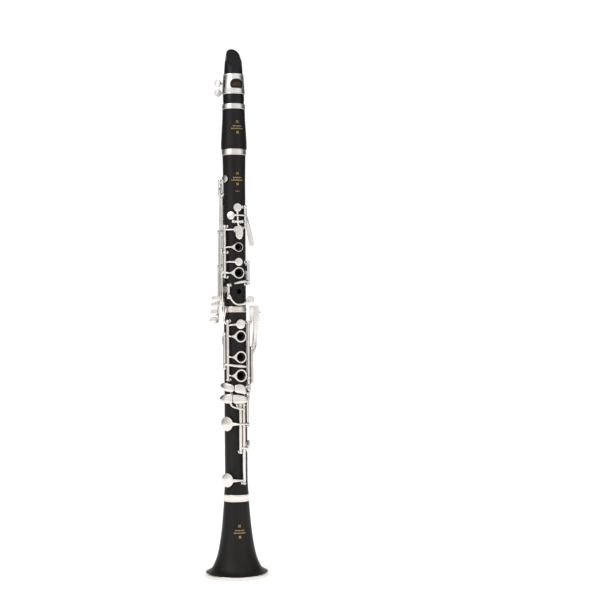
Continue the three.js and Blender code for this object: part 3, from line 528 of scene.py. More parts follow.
AXLES = {
    "register_axle": across_bore(upper_surface, on_upper(112), UPPER_ROD, (164, 196)),
    "throat_a_axle": across_bore(upper_surface, on_upper(106.2), UPPER_ROD, (-22, 14)),
    "throat_g_sharp_axle": along_bore(upper_surface, 31, UPPER_ROD, upper_heights(99, 125)),
    "trill_axle": along_bore(upper_surface, -95, UPPER_ROD, upper_heights(142, 158)),
    "side_key_axle": along_bore(upper_surface, -142, UPPER_ROD, upper_heights(7, 48.5, 92, 138.5)),
    "left_stack_axle": along_bore(upper_surface, -60, UPPER_ROD, upper_heights(37, 68, 100.4)),
    "thumb_ring_axle": along_bore(upper_surface, 125, UPPER_ROD, upper_heights(74, 96)),
    "c_sharp_g_sharp_axle": along_bore(upper_surface, -44, UPPER_ROD - 0.6, upper_heights(11, 26.5)),
    "e_flat_sliver_axle": along_bore(upper_surface, 47, UPPER_ROD, upper_heights(28, 55.5)),
    "right_stack_axle": along_bore(
        lower_surface, -48, LOWER_ROD, (under_socket(92), under_socket(18.6))
    ),
    "b_natural_sliver_axle": along_bore(
        lower_surface, -64, LOWER_ROD, (under_socket(78), under_socket(34.5))
    ),
    "right_edge_axle": along_bore(lower_surface, 44, LOWER_ROD, lower_heights(131.5, 146.5, 216.5)),
    "middle_lever_axle": along_bore(lower_surface, 66, LOWER_ROD + 2, lower_heights(140.5, 184)),
    "outer_lever_axle": along_bore(lower_surface, 88, LOWER_ROD + 1.5, lower_heights(139, 182)),
    "f_c_axle": along_bore(lower_surface, 35, LOWER_ROD, lower_heights(85.5, 126.3)),
    "e_b_axle": along_bore(lower_surface, 15, LOWER_ROD, lower_heights(14.5, 113)),
    "f_sharp_c_sharp_axle": along_bore(lower_surface, 1, LOWER_ROD, lower_heights(53.5, 113)),
}


def arc_pairs(radius, start, end, count, centre=(0, 0)):
    """Points (x, y) of an arc round a centre, between two angles in degrees."""
    angles = [math.radians(start + (end - start) * i / count) for i in range(count + 1)]
    return [(centre[0] + radius * math.cos(a), centre[1] + radius * math.sin(a)) for a in angles]


def post_shells(surface_of, place, along):
    """A ball-headed post: a turned stem with a collar, and a ball with two flats."""
    degrees, radius, height = place
    foot = surface_of(height)
    rise = radius - foot
    stem = [(0, -STEM_DEPTH), (STEM, -STEM_DEPTH), (STEM, -0.3), (2.15, -0.3), (2.2, 0.1)]
    stem += [(2.0, 0.35), (1.5, 0.55), (STEM, 0.95), (STEM, rise - 2.2), (1.35, rise - 1.7), (0, rise)]
    turn = math.degrees(math.asin(HEAD_HALF / BALL))
    ball = [(0, -HEAD_HALF)] + arc_pairs(BALL, -turn, turn, 10) + [(0, HEAD_HALF)]
    head = moved(lathe(ball, 32), polar(*place), along)
    return [moved(lathe(stem, 24), polar(degrees, foot, height), radial(degrees)), head]


SPRING_LENGTH = 13
SPRING_RADIUS = 0.35
SPRING_DROP = 2.9  # how far a needle spring runs below its rod


def slot_cut(end, along, degrees):
    """A screwdriver slot in the end of a rod."""
    side = radial(degrees)
    other = along.cross(side)
    outline = [(-0.18, -2), (0.18, -2), (0.18, 2), (-0.18, 2)]
    put = lambda x, y, depth: end + other * x + side * y + along * depth
    return pillow(outline, put, -0.35, 1, edge=0.01)


for axle_name, (axle_surface, posts) in AXLES.items():
    ends = [polar(*posts[0]), polar(*posts[-1])]
    axle_along = (ends[1] - ends[0]).normalized()
    head_reach = axle_along * (HEAD_HALF + 0.25)
    rod_shell = bar(ROD, ends[0] - head_reach, ends[1] + head_reach, 20, 0.12)
    post_parts = [shell for post in posts for shell in post_shells(axle_surface, post, axle_along)]
    slots = [
        slot_cut(ends[0] - head_reach, -axle_along, posts[0][0]),
        slot_cut(ends[1] + head_reach, axle_along, posts[-1][0]),
    ]
    piece(axle_name, [rod_shell, *post_parts], slots, material=STEEL, nodes=(axle_name,))
    if posts[0][0] == posts[1][0]:
        degrees, radius, height = posts[0]
        root = polar(degrees, radius - SPRING_DROP, height)
        tip = polar(degrees, radius - SPRING_DROP + 0.2, height + SPRING_LENGTH)
        needle = bar(SPRING_RADIUS, root, tip, 10, 0.1)
        spring_name = axle_name.replace("_axle", "_spring")
        piece(spring_name, [needle], material=BLUED_STEEL)


# ---------------------------------------------------------------- tone holes
FOOT_INSET = 0.25  # how far the pads of the two lowest cups are set in
VENT_TOP = UPPER_RADIUS + 3.9
C_SHARP_TOP = UPPER_RADIUS + 2.4


def hole(surface_of, degrees, height, radius, chimney, rise, **closing):
    """A tone hole with its raised seat, and what closes it."""
    wood = surface_of(height)
    return {
        "surface": surface_of, "degrees": degrees, "height": height, "radius": radius,
        "chimney": chimney, "wood": wood, "rise": rise, "seat": wood + rise, **closing,
    }


def ring_hole(surface_of, degrees, height, radius, chimney, outer, tail=4.6):
    """A tone hole inside a finger ring, with the ring's radius and the length of its web."""
    return hole(surface_of, degrees, height, radius, chimney, RING_RISE, outer=outer, tail=tail)


def pad_hole(
    surface_of, degrees, height, radius, chimney, cup, lift=0, inset=0, dome=0.55, top=None
):
    """A tone hole under a pad cup, with the cup's radius, how far it stands open and its dome."""
    closing = {"cup": cup, "lift": lift, "inset": inset, "dome": dome, "top": top}
    return hole(surface_of, degrees, height, radius, chimney, 0.5, **closing)


RINGS = {
    "left_index": ring_hole(upper_surface, 0, on_upper(74.2), 3.1, 3.9, 5.8),
    "left_middle": ring_hole(upper_surface, 1, on_upper(41.9), 3.6, 4.7, 7.2, 4),
    "thumb": ring_hole(upper_surface, 180, on_upper(80), 3.2, 4.2, 6.4, 4.5),
    "right_index": ring_hole(lower_surface, 7, under_socket(37.9), 3.8, 4.7, 7.6),
    "right_middle": ring_hole(lower_surface, 7, under_socket(63.9), 3.8, 4.7, 7.6),
    "right_ring": ring_hole(lower_surface, 7, under_socket(87.2), 4.2, 5.1, 8.1),
}
PADS = {
    "register": pad_hole(upper_surface, 180, on_upper(136), 1.6, 3, 3.9),
    "throat_a": pad_hole(upper_surface, -3, on_upper(123.9), 2.6, 4, 5.2),
    "throat_g_sharp": pad_hole(upper_surface, -33, on_upper(113.9), 2.6, 3.9, 5),
    "trill_upper": pad_hole(upper_surface, -65, on_upper(160.4), 2.4, 3.6, 4.7),
    "trill_lower": pad_hole(upper_surface, -105, on_upper(132.9), 2.4, 3.6, 4.7),
    "side_e_flat": pad_hole(upper_surface, -116, on_upper(70), 2.2, 3.2, 4.1),
    "side_f_sharp": pad_hole(upper_surface, -116, on_upper(27), 2.2, 3.2, 4.1),
    "vent": pad_hole(
        upper_surface, -8, on_upper(96.1), 2.2, 3.4, 4.1, STACK_LIFT, dome=0.3, top=VENT_TOP
    ),
    "left": pad_hole(upper_surface, -1, on_upper(55.6), 2.8, 3.9, 5, STACK_LIFT),
    "e_flat_sliver": pad_hole(upper_surface, 78, on_upper(48), 2.4, 3.4, 4.5),
    "c_sharp_g_sharp": pad_hole(
        upper_surface, -68, on_upper(21), 2, 2.9, 3.9, dome=0.25, top=C_SHARP_TOP
    ),
    "right": pad_hole(lower_surface, 5, under_socket(22.6), 3.4, 4.8, 6, STACK_LIFT),
    "b_natural_sliver": pad_hole(lower_surface, -93, under_socket(43.2), 3.2, 4.6, 5.8),
    "g_sharp_d_sharp": pad_hole(lower_surface, 85, on_lower(122), 4.6, 6.4, 8),
    "f_c": pad_hole(lower_surface, -55, on_lower(89), 5.4, 7.4, 9, FOOT_LIFT, FOOT_INSET, 0.75),
    "f_sharp_c_sharp": pad_hole(lower_surface, 54, on_lower(59), 5, 7, 8.5, dome=0.7),
    "e_b": pad_hole(
        lower_surface, -54.5, on_lower(18.3), 5.2, 7.2, 8.8, FOOT_LIFT, FOOT_INSET, 0.75
    ),
}
OPEN_HOLE = hole(upper_surface, 6, on_upper(18.4), 3.1, 3.6, 0)


def set_out(outline, one, radius, segments):
    """A turned shell that faces out over a tone hole, its foot at a distance from the bore."""
    foot = polar(one["degrees"], radius, one["height"])
    return moved(lathe(outline, segments), foot, radial(one["degrees"]))


def chimney_shell(one):
    """The raised seat of a tone hole, turned a little round at its lip."""
    middle = (BORE + one["wood"]) / 2
    tall = one["seat"] - middle
    radius = one["chimney"]
    flare = 0 if one["rise"] < 1 else 0.5
    outline = [(0, 0), (radius + flare, 0), (radius + 0.1, tall - one["rise"] * 0.7)]
    outline += [(radius, tall - 0.3), (radius - 0.25, tall), (0, tall)]
    return set_out(outline, one, middle, 48)


def hole_cut(one):
    """A tone hole, undercut at the bore and eased at the outside."""
    base = BORE / 2
    tall = one["seat"] - base
    radius = one["radius"]
    outline = [(0, 0), (radius + 0.6, 0), (radius + 0.6, BORE - base), (radius, BORE - base + 2)]
    outline += [(radius, tall - 0.35), (radius + 0.4, tall + 0.05)]
    outline += [(radius + 0.4, tall + 3), (0, tall + 3)]
    return set_out(outline, one, base, 48)


def stem_cuts(surface_of):
    """Pockets in the wood for the posts of every axle on one joint."""
    cuts = []
    for axle_surface, places in AXLES.values():
        if axle_surface is not surface_of:
            continue
        for degrees, _, height in places:
            foot = surface_of(height)
            low = polar(degrees, foot - STEM_DEPTH - 0.1, height)
            cuts.append(bar(STEM + 0.08, low, polar(degrees, foot + 1, height), 16))
    return cuts


# ---------------------------------------------------------------- turned joints
def tenon_outline(shoulder, direction, length):
    groove_radius = TENON_RADIUS - CORK_WALL - GAP + 0.2
    groove_length = CORK_LENGTH + 2 * GAP
    mouth = shoulder + direction * length
    near = shoulder + direction * (length - groove_length) / 2
    far = near + direction * groove_length
    return [
        (TENON_RADIUS, shoulder),
        (TENON_RADIUS, near),
        (groove_radius, near),
        (groove_radius, far),
        (TENON_RADIUS, far),
        (TENON_RADIUS, mouth - direction * 0.5),
        (TENON_RADIUS - 0.5, mouth),
        (BORE, mouth),
    ]


def cork_piece(name, shoulder, direction, length):
    middle = shoulder + direction * length / 2
    inner = TENON_RADIUS - CORK_WALL + 0.2
    outer = inner + CORK_WALL - 0.1
    half = CORK_LENGTH / 2
    outline = [(inner, middle - half), (outer - 0.3, middle - half), (outer, middle - half + 0.4)]
    outline += [(outer, middle + half - 0.4), (outer - 0.3, middle + half), (inner, middle + half)]
    piece(name, [lathe(outline, 64)], material=CORK, nodes=(name,))


RING_WALL = 1.1
BARREL_TOP_RING = high_corner("barrel_top_ring").x
BARREL_BOTTOM_RING = high_corner("barrel_bottom_ring").x
MIDDLE_RING = high_corner("middle_ring").x
BELL_RING = high_corner("bell_socket_ring").x


def ring_piece(name):
    """A socket ring with rounded edges, two fine grooves and a bead between them."""
    low, high = low_corner(name).z, high_corner(name).z
    outer = high_corner(name).x
    inner = outer - RING_WALL
    length = high - low
    edge = 0.45
    outline = [(inner, low), *arc_pairs(edge, -90, 0, 4, (outer - edge, low + edge))]
    for share in (0.2, 0.8):
        middle = low + length * share
        outline += [(outer, middle - 0.35), (outer - 0.35, middle - 0.1), (outer - 0.35, middle + 0.1)]
        outline += [(outer, middle + 0.35)]
    outline += [*arc_pairs(edge, 0, 90, 4, (outer - edge, high - edge)), (inner, high)]
    piece(name, [lathe(outline, 128)], nodes=(name,))


for ring_name in ("barrel_top_ring", "barrel_bottom_ring", "middle_ring", "bell_socket_ring"):
    ring_piece(ring_name)

BELL_OUTSIDE = [
    (37.2, 4.8), (31.7, 8.9), (27.5, 16.9), (24.7, 25), (22.8, 33.1), (20.1, 49.3), (18.2, 65.4),
    (16.8, 81.7),
]
BELL_INSIDE = [(11.6, 72), (13, 58), (15.2, 44), (18.3, 30), (22.6, 18), (28.6, 8.5), (34.6, 3.6)]


def bell_surface(height):
    curve = smooth([(z, r) for r, z in BELL_OUTSIDE], 5, closed=False)
    return table_radius(curve, height)


def under_ring(outer):
    return outer - RING_WALL - GAP


def bell_piece():
    rim_wood = RIM_RADIUS - 1 - GAP
    ring_low = low_corner("bell_socket_ring").z
    floor = BELL_TOP - BELL_TENON_LENGTH - SOCKET_FLOOR
    outside = smooth([(rim_wood, 4), *BELL_OUTSIDE, (BELL_RING - 0.8, ring_low - GAP)], 5, closed=False)
    outline = [(RIM_RADIUS - 2.6, 1 + GAP), (rim_wood, 1 + GAP), *outside]
    outline += [(under_ring(BELL_RING), ring_low - GAP), (under_ring(BELL_RING), BELL_TOP - GAP)]
    outline += [(SOCKET_RADIUS, BELL_TOP - GAP), (SOCKET_RADIUS, floor), (BORE + 1.4, floor)]
    outline += smooth(BELL_INSIDE, 5, closed=False)
    piece("bell", [lathe(outline, 144)], material=GRENADILLA, nodes=("bell",))


def rim_ring_piece():
    outline = [(RIM_RADIUS - 3.2, 0), (RIM_RADIUS - 1.2, 0)]
    outline += arc_pairs(1, -80, 0, 6, (RIM_RADIUS - 1, 1))
    bead = [(0, 2.9), (0.25, 3.2), (0.25, 3.5), (0.1, 3.7), (0.2, 4), (1, 4), (1, 1), (3.2, 1)]
    outline += [(RIM_RADIUS - inset, height) for inset, height in bead]
    piece("bell_rim_ring", [lathe(outline, 144)], nodes=("bell_rim_ring",))


def wooden_joint(name, outline, surface_of):
    every_hole = (*RINGS.values(), *PADS.values(), OPEN_HOLE)
    holes = [one for one in every_hole if one["surface"] is surface_of]
    seats = [chimney_shell(one) for one in holes if one["rise"]]
    cuts = [hole_cut(one) for one in holes] + stem_cuts(surface_of)
    piece(
        name, [lathe(outline, 144), *seats], cuts,
        material=GRENADILLA, nodes=(name,), crease=38,
    )


def lower_joint_piece():
    ring_low = low_corner("middle_ring").z
    outline = tenon_outline(BELL_TOP + GAP, -1, BELL_TENON_LENGTH)[::-1]
    foot = [(r, z + GAP) for z, r in LOWER_PROFILE[:2]] + [(LOWER_RADIUS, on_lower(60))]
    outline += smooth(foot, 6, closed=False)
    outline += [(LOWER_RADIUS, on_lower(100)), (LOWER_RADIUS - 0.1, ring_low - GAP)]
    outline += [(under_ring(MIDDLE_RING), ring_low - GAP), (under_ring(MIDDLE_RING), LOWER_TOP - GAP)]
    floor = LOWER_TOP - TENON_LENGTH - SOCKET_FLOOR
    outline += [(SOCKET_RADIUS, LOWER_TOP - GAP), (SOCKET_RADIUS, floor), (BORE, floor)]
    wooden_joint("lower_joint", outline, lower_surface)


def upper_joint_piece():
    outline = tenon_outline(LOWER_TOP, -1, TENON_LENGTH)[::-1]
    outline += [(r, z) for z, r in UPPER_PROFILE]
    outline += tenon_outline(UPPER_TOP, 1, TENON_LENGTH)
    wooden_joint("upper_joint", outline, upper_surface)


BARREL_LOW_EDGE = high_corner("barrel_bottom_ring").z + GAP
BARREL_HIGH_EDGE = low_corner("barrel_top_ring").z - GAP
BARREL_OUTSIDE = smooth([
    (BARREL_BOTTOM_RING + 0.2, BARREL_LOW_EDGE),
    (BARREL_BOTTOM_RING + 0.4, BARREL_LOW_EDGE + 4.5),
    (BARREL_BOTTOM_RING - 0.3, BARREL_LOW_EDGE + 20),
    (BARREL_TOP_RING - 0.4, BARREL_HIGH_EDGE - 12),
    (BARREL_TOP_RING - 0.7, BARREL_HIGH_EDGE),
], 6, closed=False)


def barrel_surface(height):
    return table_radius([(z, r) for r, z in BARREL_OUTSIDE], height)


def barrel_piece():
    low, high = UPPER_TOP + GAP, BARREL_TOP - GAP
    floor = UPPER_TOP + TENON_LENGTH + SOCKET_FLOOR
    ceiling = BARREL_TOP - TENON_LENGTH - SOCKET_FLOOR
    outline = [(BORE, floor), (SOCKET_RADIUS, floor)]
    outline += [(SOCKET_RADIUS, low), (under_ring(BARREL_BOTTOM_RING), low)]
    outline += [(under_ring(BARREL_BOTTOM_RING), BARREL_LOW_EDGE), *BARREL_OUTSIDE]
    outline += [(under_ring(BARREL_TOP_RING), BARREL_HIGH_EDGE), (under_ring(BARREL_TOP_RING), high)]
    outline += [(SOCKET_RADIUS, high), (SOCKET_RADIUS, ceiling), (BORE, ceiling)]
    piece("barrel", [lathe(outline, 128)], material=GRENADILLA, nodes=("barrel",))


bell_piece()
rim_ring_piece()
lower_joint_piece()
upper_joint_piece()
barrel_piece()
cork_piece("lower_joint_cork", BELL_TOP + GAP, -1, BELL_TENON_LENGTH)
cork_piece("upper_joint_foot_cork", LOWER_TOP, -1, TENON_LENGTH)
cork_piece("upper_joint_top_cork", UPPER_TOP, 1, TENON_LENGTH)
cork_piece("mouthpiece_cork", BARREL_TOP, -1, TENON_LENGTH)


# ---------------------------------------------------------------- mouthpiece, reed and ligature
MOUTHPIECE_PROFILE = [
    (BARREL_TOP, 13.2), (BARREL_TOP + 8, 13.55), (BARREL_TOP + 37, 12), (BARREL_TOP + 53, 10.9),
    (TIP_TOP, 8),
]
TABLE_DEPTH = 8.2
BEAK_FOOT = BARREL_TOP + 44
TIP_DEPTH = 6.6
CHAMBER = 4.8
WINDOW_TOP = TIP_TOP - 4
REED_HALF = 5.8
REED_WALL = 2.2


def side_place(depth, height, sideways):
    return Vector((sideways, depth, height))


def front_place(sideways, height, depth):
    return Vector((sideways, depth, height))


def mouthpiece_piece():
    outline = tenon_outline(BARREL_TOP, -1, TENON_LENGTH)[::-1]
    outline += smooth([(r, z) for z, r in MOUTHPIECE_PROFILE], 8, closed=False)
    outline += [(0, TIP_TOP), (0, BEAK_FOOT - 8), (BORE, BEAK_FOOT - 8)]
    table = [(TABLE_DEPTH, BARREL_TOP + 4), (20, BARREL_TOP + 4), (20, TIP_TOP + 1)]
    table += [(TABLE_DEPTH, TIP_TOP + 1)]
    beak = [(-20, BEAK_FOOT), (-11.2, BEAK_FOOT), (-3, BEAK_FOOT + 13.2), (TIP_DEPTH, TIP_TOP + 0.1)]
    beak += [(TIP_DEPTH, TIP_TOP + 5), (-20, TIP_TOP + 5)]
    chamber = [(-4, BEAK_FOOT - 12), (TABLE_DEPTH + 1, BEAK_FOOT - 12), (TABLE_DEPTH + 1, WINDOW_TOP)]
    chamber += [(TIP_DEPTH - 0.4, WINDOW_TOP), (-4, BEAK_FOOT - 4)]
    cuts = [
        pillow(table, side_place, -20, 20, 0.01),
        pillow(beak, side_place, -20, 20, 0.01),
        pillow(chamber, side_place, -CHAMBER, CHAMBER, 0.01),
    ]
    foot, drop, half = BARREL_TOP - 30, 9.5, 8.9
    front = [(15, foot), (15, TIP_TOP - 20), (half + 0.8, TIP_TOP - 17)]
    arch = [math.radians(10 * i) for i in range(10)]
    front += [(half * math.cos(a), TIP_TOP - drop * (1 - math.sin(a))) for a in arch]
    front += [(-x, z) for x, z in front[-2::-1]]
    piece(
        "mouthpiece", [lathe(outline, 128)], cuts, [pillow(front, front_place, -20, 20, 0.01)],
        material=EBONITE, nodes=("mouthpiece",), crease=30,
    )


def reed_piece():
    """Flat side to the table, rounded bark, and a vamp scraped thin to an arched tip."""
    near = TABLE_DEPTH + GAP
    foot = BARREL_TOP + 5
    vamp = BARREL_TOP + 36
    top = TIP_TOP - 0.2
    rows = []
    steps = 16
    for i in range(steps + 1):
        height = foot + (vamp - foot) * i / 4
        if i >= 4:
            height = vamp + (top - vamp) * (i - 4) / (steps - 4)
        fall = max(0.0, (height - vamp) / (top - vamp))
        rows.append((height, REED_WALL * (1 - fall) ** 1.3 + 0.35))
    points, faces = [], []
    sides = 15
    for height, wall in rows:
        room = max(0.0, height - (top - 4)) / 4
        half = REED_HALF * math.sqrt(max(0.02, 1 - room**2 * 0.98))
        points += [Vector((half * (2 * k / (sides - 1) - 1), near, height)) for k in range(sides)]
        for k in range(sides):
            x = 2 * k / (sides - 1) - 1
            points.append(Vector((half * x, near + max(0.12, wall * (1 - 0.55 * x * x)), height)))
    for row in range(steps):
        a, b = row * 2 * sides, (row + 1) * 2 * sides
        for k in range(sides - 1):
            faces.append([a + k, a + k + 1, b + k + 1, b + k])
            faces.append([a + sides + k, b + sides + k, b + sides + k + 1, a + sides + k + 1])
        faces.append([a, b, b + sides, a + sides])
        faces.append([a + sides - 1, a + 2 * sides - 1, b + 2 * sides - 1, b + sides - 1])
    for a in (0, steps * 2 * sides):
        faces += [[a + k, a + k + 1, a + sides + k + 1, a + sides + k] for k in range(sides - 1)]
    piece("reed", [(points, faces)], material=CANE, nodes=("reed",))


LIGATURE_LOW = low_corner("ligature").z
LIGATURE_HIGH = high_corner("ligature").z
SCREW_DEPTH = 17.6
SCREW_RADIUS = 1.2
LUG_REACH = 7
THUMB_SCREWS = {
    name: (low_corner(name).z + high_corner(name).z) / 2
    for name in ("ligature_screw_lower", "ligature_screw_upper")
}


def inside_ligature(height):
    return table_radius(MOUTHPIECE_PROFILE, height) + GAP + 0.1


def ligature_piece():
    low, high = inside_ligature(LIGATURE_LOW), inside_ligature(LIGATURE_HIGH)
    hem = [(0, 0), (0.75, 0), (1, 0.3), (1, 1.2), (0.8, 1.5), (0.8, 1.9)]
    band = [(low + wall, LIGATURE_LOW + up) for wall, up in [*hem, (0.95, 2.2)]]
    band += [(high + wall, LIGATURE_HIGH - down) for wall, down in [(0.98, 2.2), *hem[::-1]]]
    shells, cuts = [lathe(band, 128)], []
    lug = superellipse(LUG_REACH / 2 - 0.8, 2.4, 5, 32)
    for height in THUMB_SCREWS.values():
        for side in (-1, 1):
            middle = side * (LUG_REACH / 2 + 0.8)
            put = lambda x, z, y: Vector((middle + x, y, height + z))
            shells.append(pillow(lug, put, low - 2.2, SCREW_DEPTH + 2.4, 0.7))
        ends = [Vector((x, SCREW_DEPTH, height)) for x in (-20, 20)]
        cuts.append(bar(SCREW_RADIUS + 0.15, *ends))
    below, above = LIGATURE_LOW - 1, LIGATURE_HIGH + 1
    inside = [(0, below), (low, below), (low, LIGATURE_LOW), (high, LIGATURE_HIGH)]
    cuts.append(lathe([*inside, (high, above), (0, above)], 128))
    split = [(-1.6, below), (1.6, below), (1.6, above), (-1.6, above)]
    cuts.append(pillow(split, front_place, 5, 25, 0.01))
    window = superellipse(2.4, 6.2, 6, 32)
    window = [(x, z + BARREL_TOP + 25.1) for x, z in window]
    cuts.append(pillow(window, curved_at(-76, 13), 9, 17, 0.01))
    piece("ligature", shells, cuts, material=NICKEL, nodes=("ligature",))
    middle = BARREL_TOP + 24
    face = (low + high) / 2 + 1
    plate = [(x, z + middle) for x, z in superellipse(8.9, 7.1, 2.3, 48)]
    piece(
        "ligature_plate", [pillow(plate, curved_at(0, face), face - 0.35, face + 0.35, 0.2)],
        material=ENAMEL,
    )
    rim = [(x, z + middle) for x, z in superellipse(9.2, 7.4, 2.3, 48)]
    hollow = [(x, z + middle) for x, z in superellipse(8.5, 6.7, 2.3, 48)]
    frame_cut = pillow(hollow, curved_at(0, face), face - 2, face + 2, 0.05)
    rim_shell = pillow(rim, curved_at(0, face), face - 0.3, face + 0.5, 0.25)
    piece("ligature_plate_rim", [rim_shell], [frame_cut], material=NICKEL)
    leaves = foliage(lambda height: face + 0.36, middle, 0.75)
    piece("ligature_ornament", [merged(*leaves)], material=DULL_GOLD)


def leaf_shell(surface_of, sideways, height, lean, half_length, half_width):
    """A lens-shaped leaf inlaid near the front of a round surface."""
    c, s = math.cos(math.radians(lean)), math.sin(math.radians(lean))
    lens = [(-half_length, 0), (-half_length / 3, half_width), (half_length / 3, half_width)]
    lens += [(half_length, 0), (half_length / 3, -half_width), (-half_length / 3, -half_width)]
    outline = [(sideways + x * c - y * s, height + x * s + y * c) for x, y in smooth(lens, 4)]
    put = lambda along, up, depth: polar(
        math.degrees(along / surface_of(up)), surface_of(up) + depth, up
    )
    return pillow(outline, put, -0.15, 0.05, 0.03)


def foliage(surface_of, height, scale=1.0, aside=0):
    """Two rows of small leaves that lean by turns, the lower row the wider."""
    shells = []
    for level, count in ((1.6, 7), (-1.6, 9)):
        for i in range(count):
            sideways = (i - (count - 1) / 2) * 1.75 * scale + aside
            lean = 55 if i % 2 else -55
            up = height + level * scale
            shells.append(leaf_shell(surface_of, sideways, up, lean, scale, 0.4 * scale))
    return shells


def ornament_piece(name, surface_of, height, aside=0, marks=()):
    """Generic gilt foliage pressed into the wood, with a small flower above and below."""
    shells = foliage(surface_of, height, aside=aside)
    for level in (7, -6.4):
        for petal in range(4):
            angle = 45 + 90 * petal
            x = aside + math.cos(math.radians(angle)) * 1.2
            z = height + level + math.sin(math.radians(angle)) * 1.2
            shells.append(leaf_shell(surface_of, x, z, angle, 1.0, 0.4))
    for sideways in marks:
        shells.append(leaf_shell(surface_of, sideways, height - 15.5, 60, 0.8, 0.3))
    piece(name, [merged(*shells)], material=GOLD_LEAF)


def ligature_screw_piece(name, height):
    """A thumb-screw: a thin round paddle, a tapered neck and a plain shank."""
    centre = Vector((-LUG_REACH - 8.4, SCREW_DEPTH, height))
    put = lambda x, z, depth: centre + Vector((x, depth, z))
    paddle = pillow(superellipse(4.7, 4.7, 2, 40), put, -0.9, 0.9, 0.5)
    neck = [(0, 0), (1.9, 0), (1.5, 2), (1.3, 4.2), (1.9, 4.6), (1.9, 5.2), (SCREW_RADIUS, 5.4)]
    end = 2 * LUG_REACH + 9.6
    neck += [(SCREW_RADIUS, 2 * LUG_REACH + 9.2), (SCREW_RADIUS - 0.4, end), (0, end)]
    shank = moved(lathe(neck, 24), centre + Vector((2.6, 0, 0)), Vector((1, 0, 0)))
    piece(name, [shank, paddle], body=name, material=NICKEL, nodes=(name,))


mouthpiece_piece()
reed_piece()
ligature_piece()
for screw_name, screw_height in THUMB_SCREWS.items():
    ligature_screw_piece(screw_name, screw_height)
ornament_piece("barrel_ornament", barrel_surface, BARREL_TOP - 30.5)
ornament_piece("upper_joint_ornament", upper_surface, on_upper(160), marks=(-1.8, 0, 1.8))
ornament_piece("bell_ornament", bell_surface, 57, -2)


# ---------------------------------------------------------------- keys
def between(axle, section=0):
    """An axle's length between two of its posts, less the running gap at each end."""
    places = sorted(AXLES[axle][1], key=lambda place: place[2])
    start, end = polar(*places[section]), polar(*places[section + 1])
    inset = (end - start).normalized() * (HEAD_HALF + GAP)
    return start + inset, end - inset


def upper_place(degrees, lift, distance):
    """A place above the foot of the upper joint, by how far it stands off the rods there."""
    return (degrees, UPPER_ROD + lift, on_upper(distance))


def lower_place(degrees, lift, distance):
    return (degrees, LOWER_ROD + lift, on_lower(distance))


def socket_place(degrees, lift, distance):
    return (degrees, LOWER_ROD + lift, under_socket(distance))


def open_seat(one):
    """How far from the bore a cup's rim stands while the key is at rest."""
    return one["seat"] + GAP + one["lift"]


def cup_shell(one):
    """A pad cup: a thin turned rim and a low dome over a hollow for its pad."""
    radius, dome, height = one["cup"], one["dome"], CUP_HEIGHT
    if one["top"]:
        height = one["top"] - one["wood"] - one["rise"] - GAP - one["lift"]
    rim = height - dome
    outline = [(0, 1.0), (radius - 0.35, 1.0), (radius - 0.35, 0.55), (radius - 0.12, 0.5)]
    outline += [(radius, 0.6), (radius, rim - 0.25), (radius - 0.1, rim - 0.05)]
    outline += [(radius - 0.35, rim + 0.02)]
    for share in (0.86, 0.7, 0.5, 0.3, 0.12):
        outline.append(((radius - 0.2) * share, rim + dome * (1 - share**2)))
    outline.append((0, height))
    return set_out(outline, one, open_seat(one), 56)


def pad_piece(name, one, body):
    """The pad in a cup: a stuffed skin disc with a soft rounded edge."""
    radius = one["cup"]
    outline = [(0, 0.98), (radius - 0.4, 0.98), (radius - 0.4, 0.5), (radius - 0.32, 0.3)]
    outline += [(radius - 0.45, 0.05), (radius - 0.8, -0.1), (one["radius"] + 0.5, -0.12)]
    outline += [(one["radius"] * 0.6, -0.02), (0, 0)]
    shell = set_out(outline, one, open_seat(one) + one["inset"], 56)
    pad = piece(name, [shell], body=body, material=PAD_SKIN)


def cup_edge(one, sideways, up=0):
    """Where an arm meets a cup's shoulder, from a direction given as (sideways, up)."""
    level = open_seat(one) + CUP_HEIGHT - 0.75
    reach = (one["cup"] - 1.2) / math.hypot(sideways, up)
    return beside(one["degrees"], level, one["height"], sideways * reach, up * reach)


def pad_arm(pad, rod, bends, sideways, widths, depths):
    """An arm from the hinge round to a cup, level with it, through (degrees, lift) bends."""
    places = [(degrees, rod + lift, pad["height"]) for degrees, lift in bends]
    return sweep([*places, cup_edge(pad, sideways)], widths, depths)


def ring_level(one):
    return one["seat"] + RING_STAND


def ring_shells(one):
    """A finger ring and the web that tapers from it to its arm."""
    low, outer = ring_level(one), one["outer"]
    inner = one["chimney"] + RING_CLEARANCE
    middle = (outer + inner) / 2
    half, rise = (outer - inner) / 2 + 0.02, RING_PLATE / 2
    section = [(middle + x, rise + y) for x, y in superellipse(half, rise, 2.8, 20)]
    arc = [math.radians(angle) for angle in range(118, 131, 4)]
    web = [(outer * math.cos(a), outer * math.sin(a)) for a in arc]
    web += [(-outer - 1.0, 2.5), (-outer - 2.6, 1.5), (-outer - one["tail"], 1.0)]
    web += [(x, -y) for x, y in web[::-1]]
    put = flat_at(one["degrees"], one["height"])
    plate = pillow(web, put, low + 0.12, low + RING_PLATE - 0.12, 0.3)
    return [set_out(section, one, low, 72), plate]


def ring_cut(one):
    low = ring_level(one)
    base = polar(one["degrees"], low - 3, one["height"])
    top = polar(one["degrees"], low + 4, one["height"])
    return bar(one["chimney"] + RING_CLEARANCE + 0.15, base, top, 72)


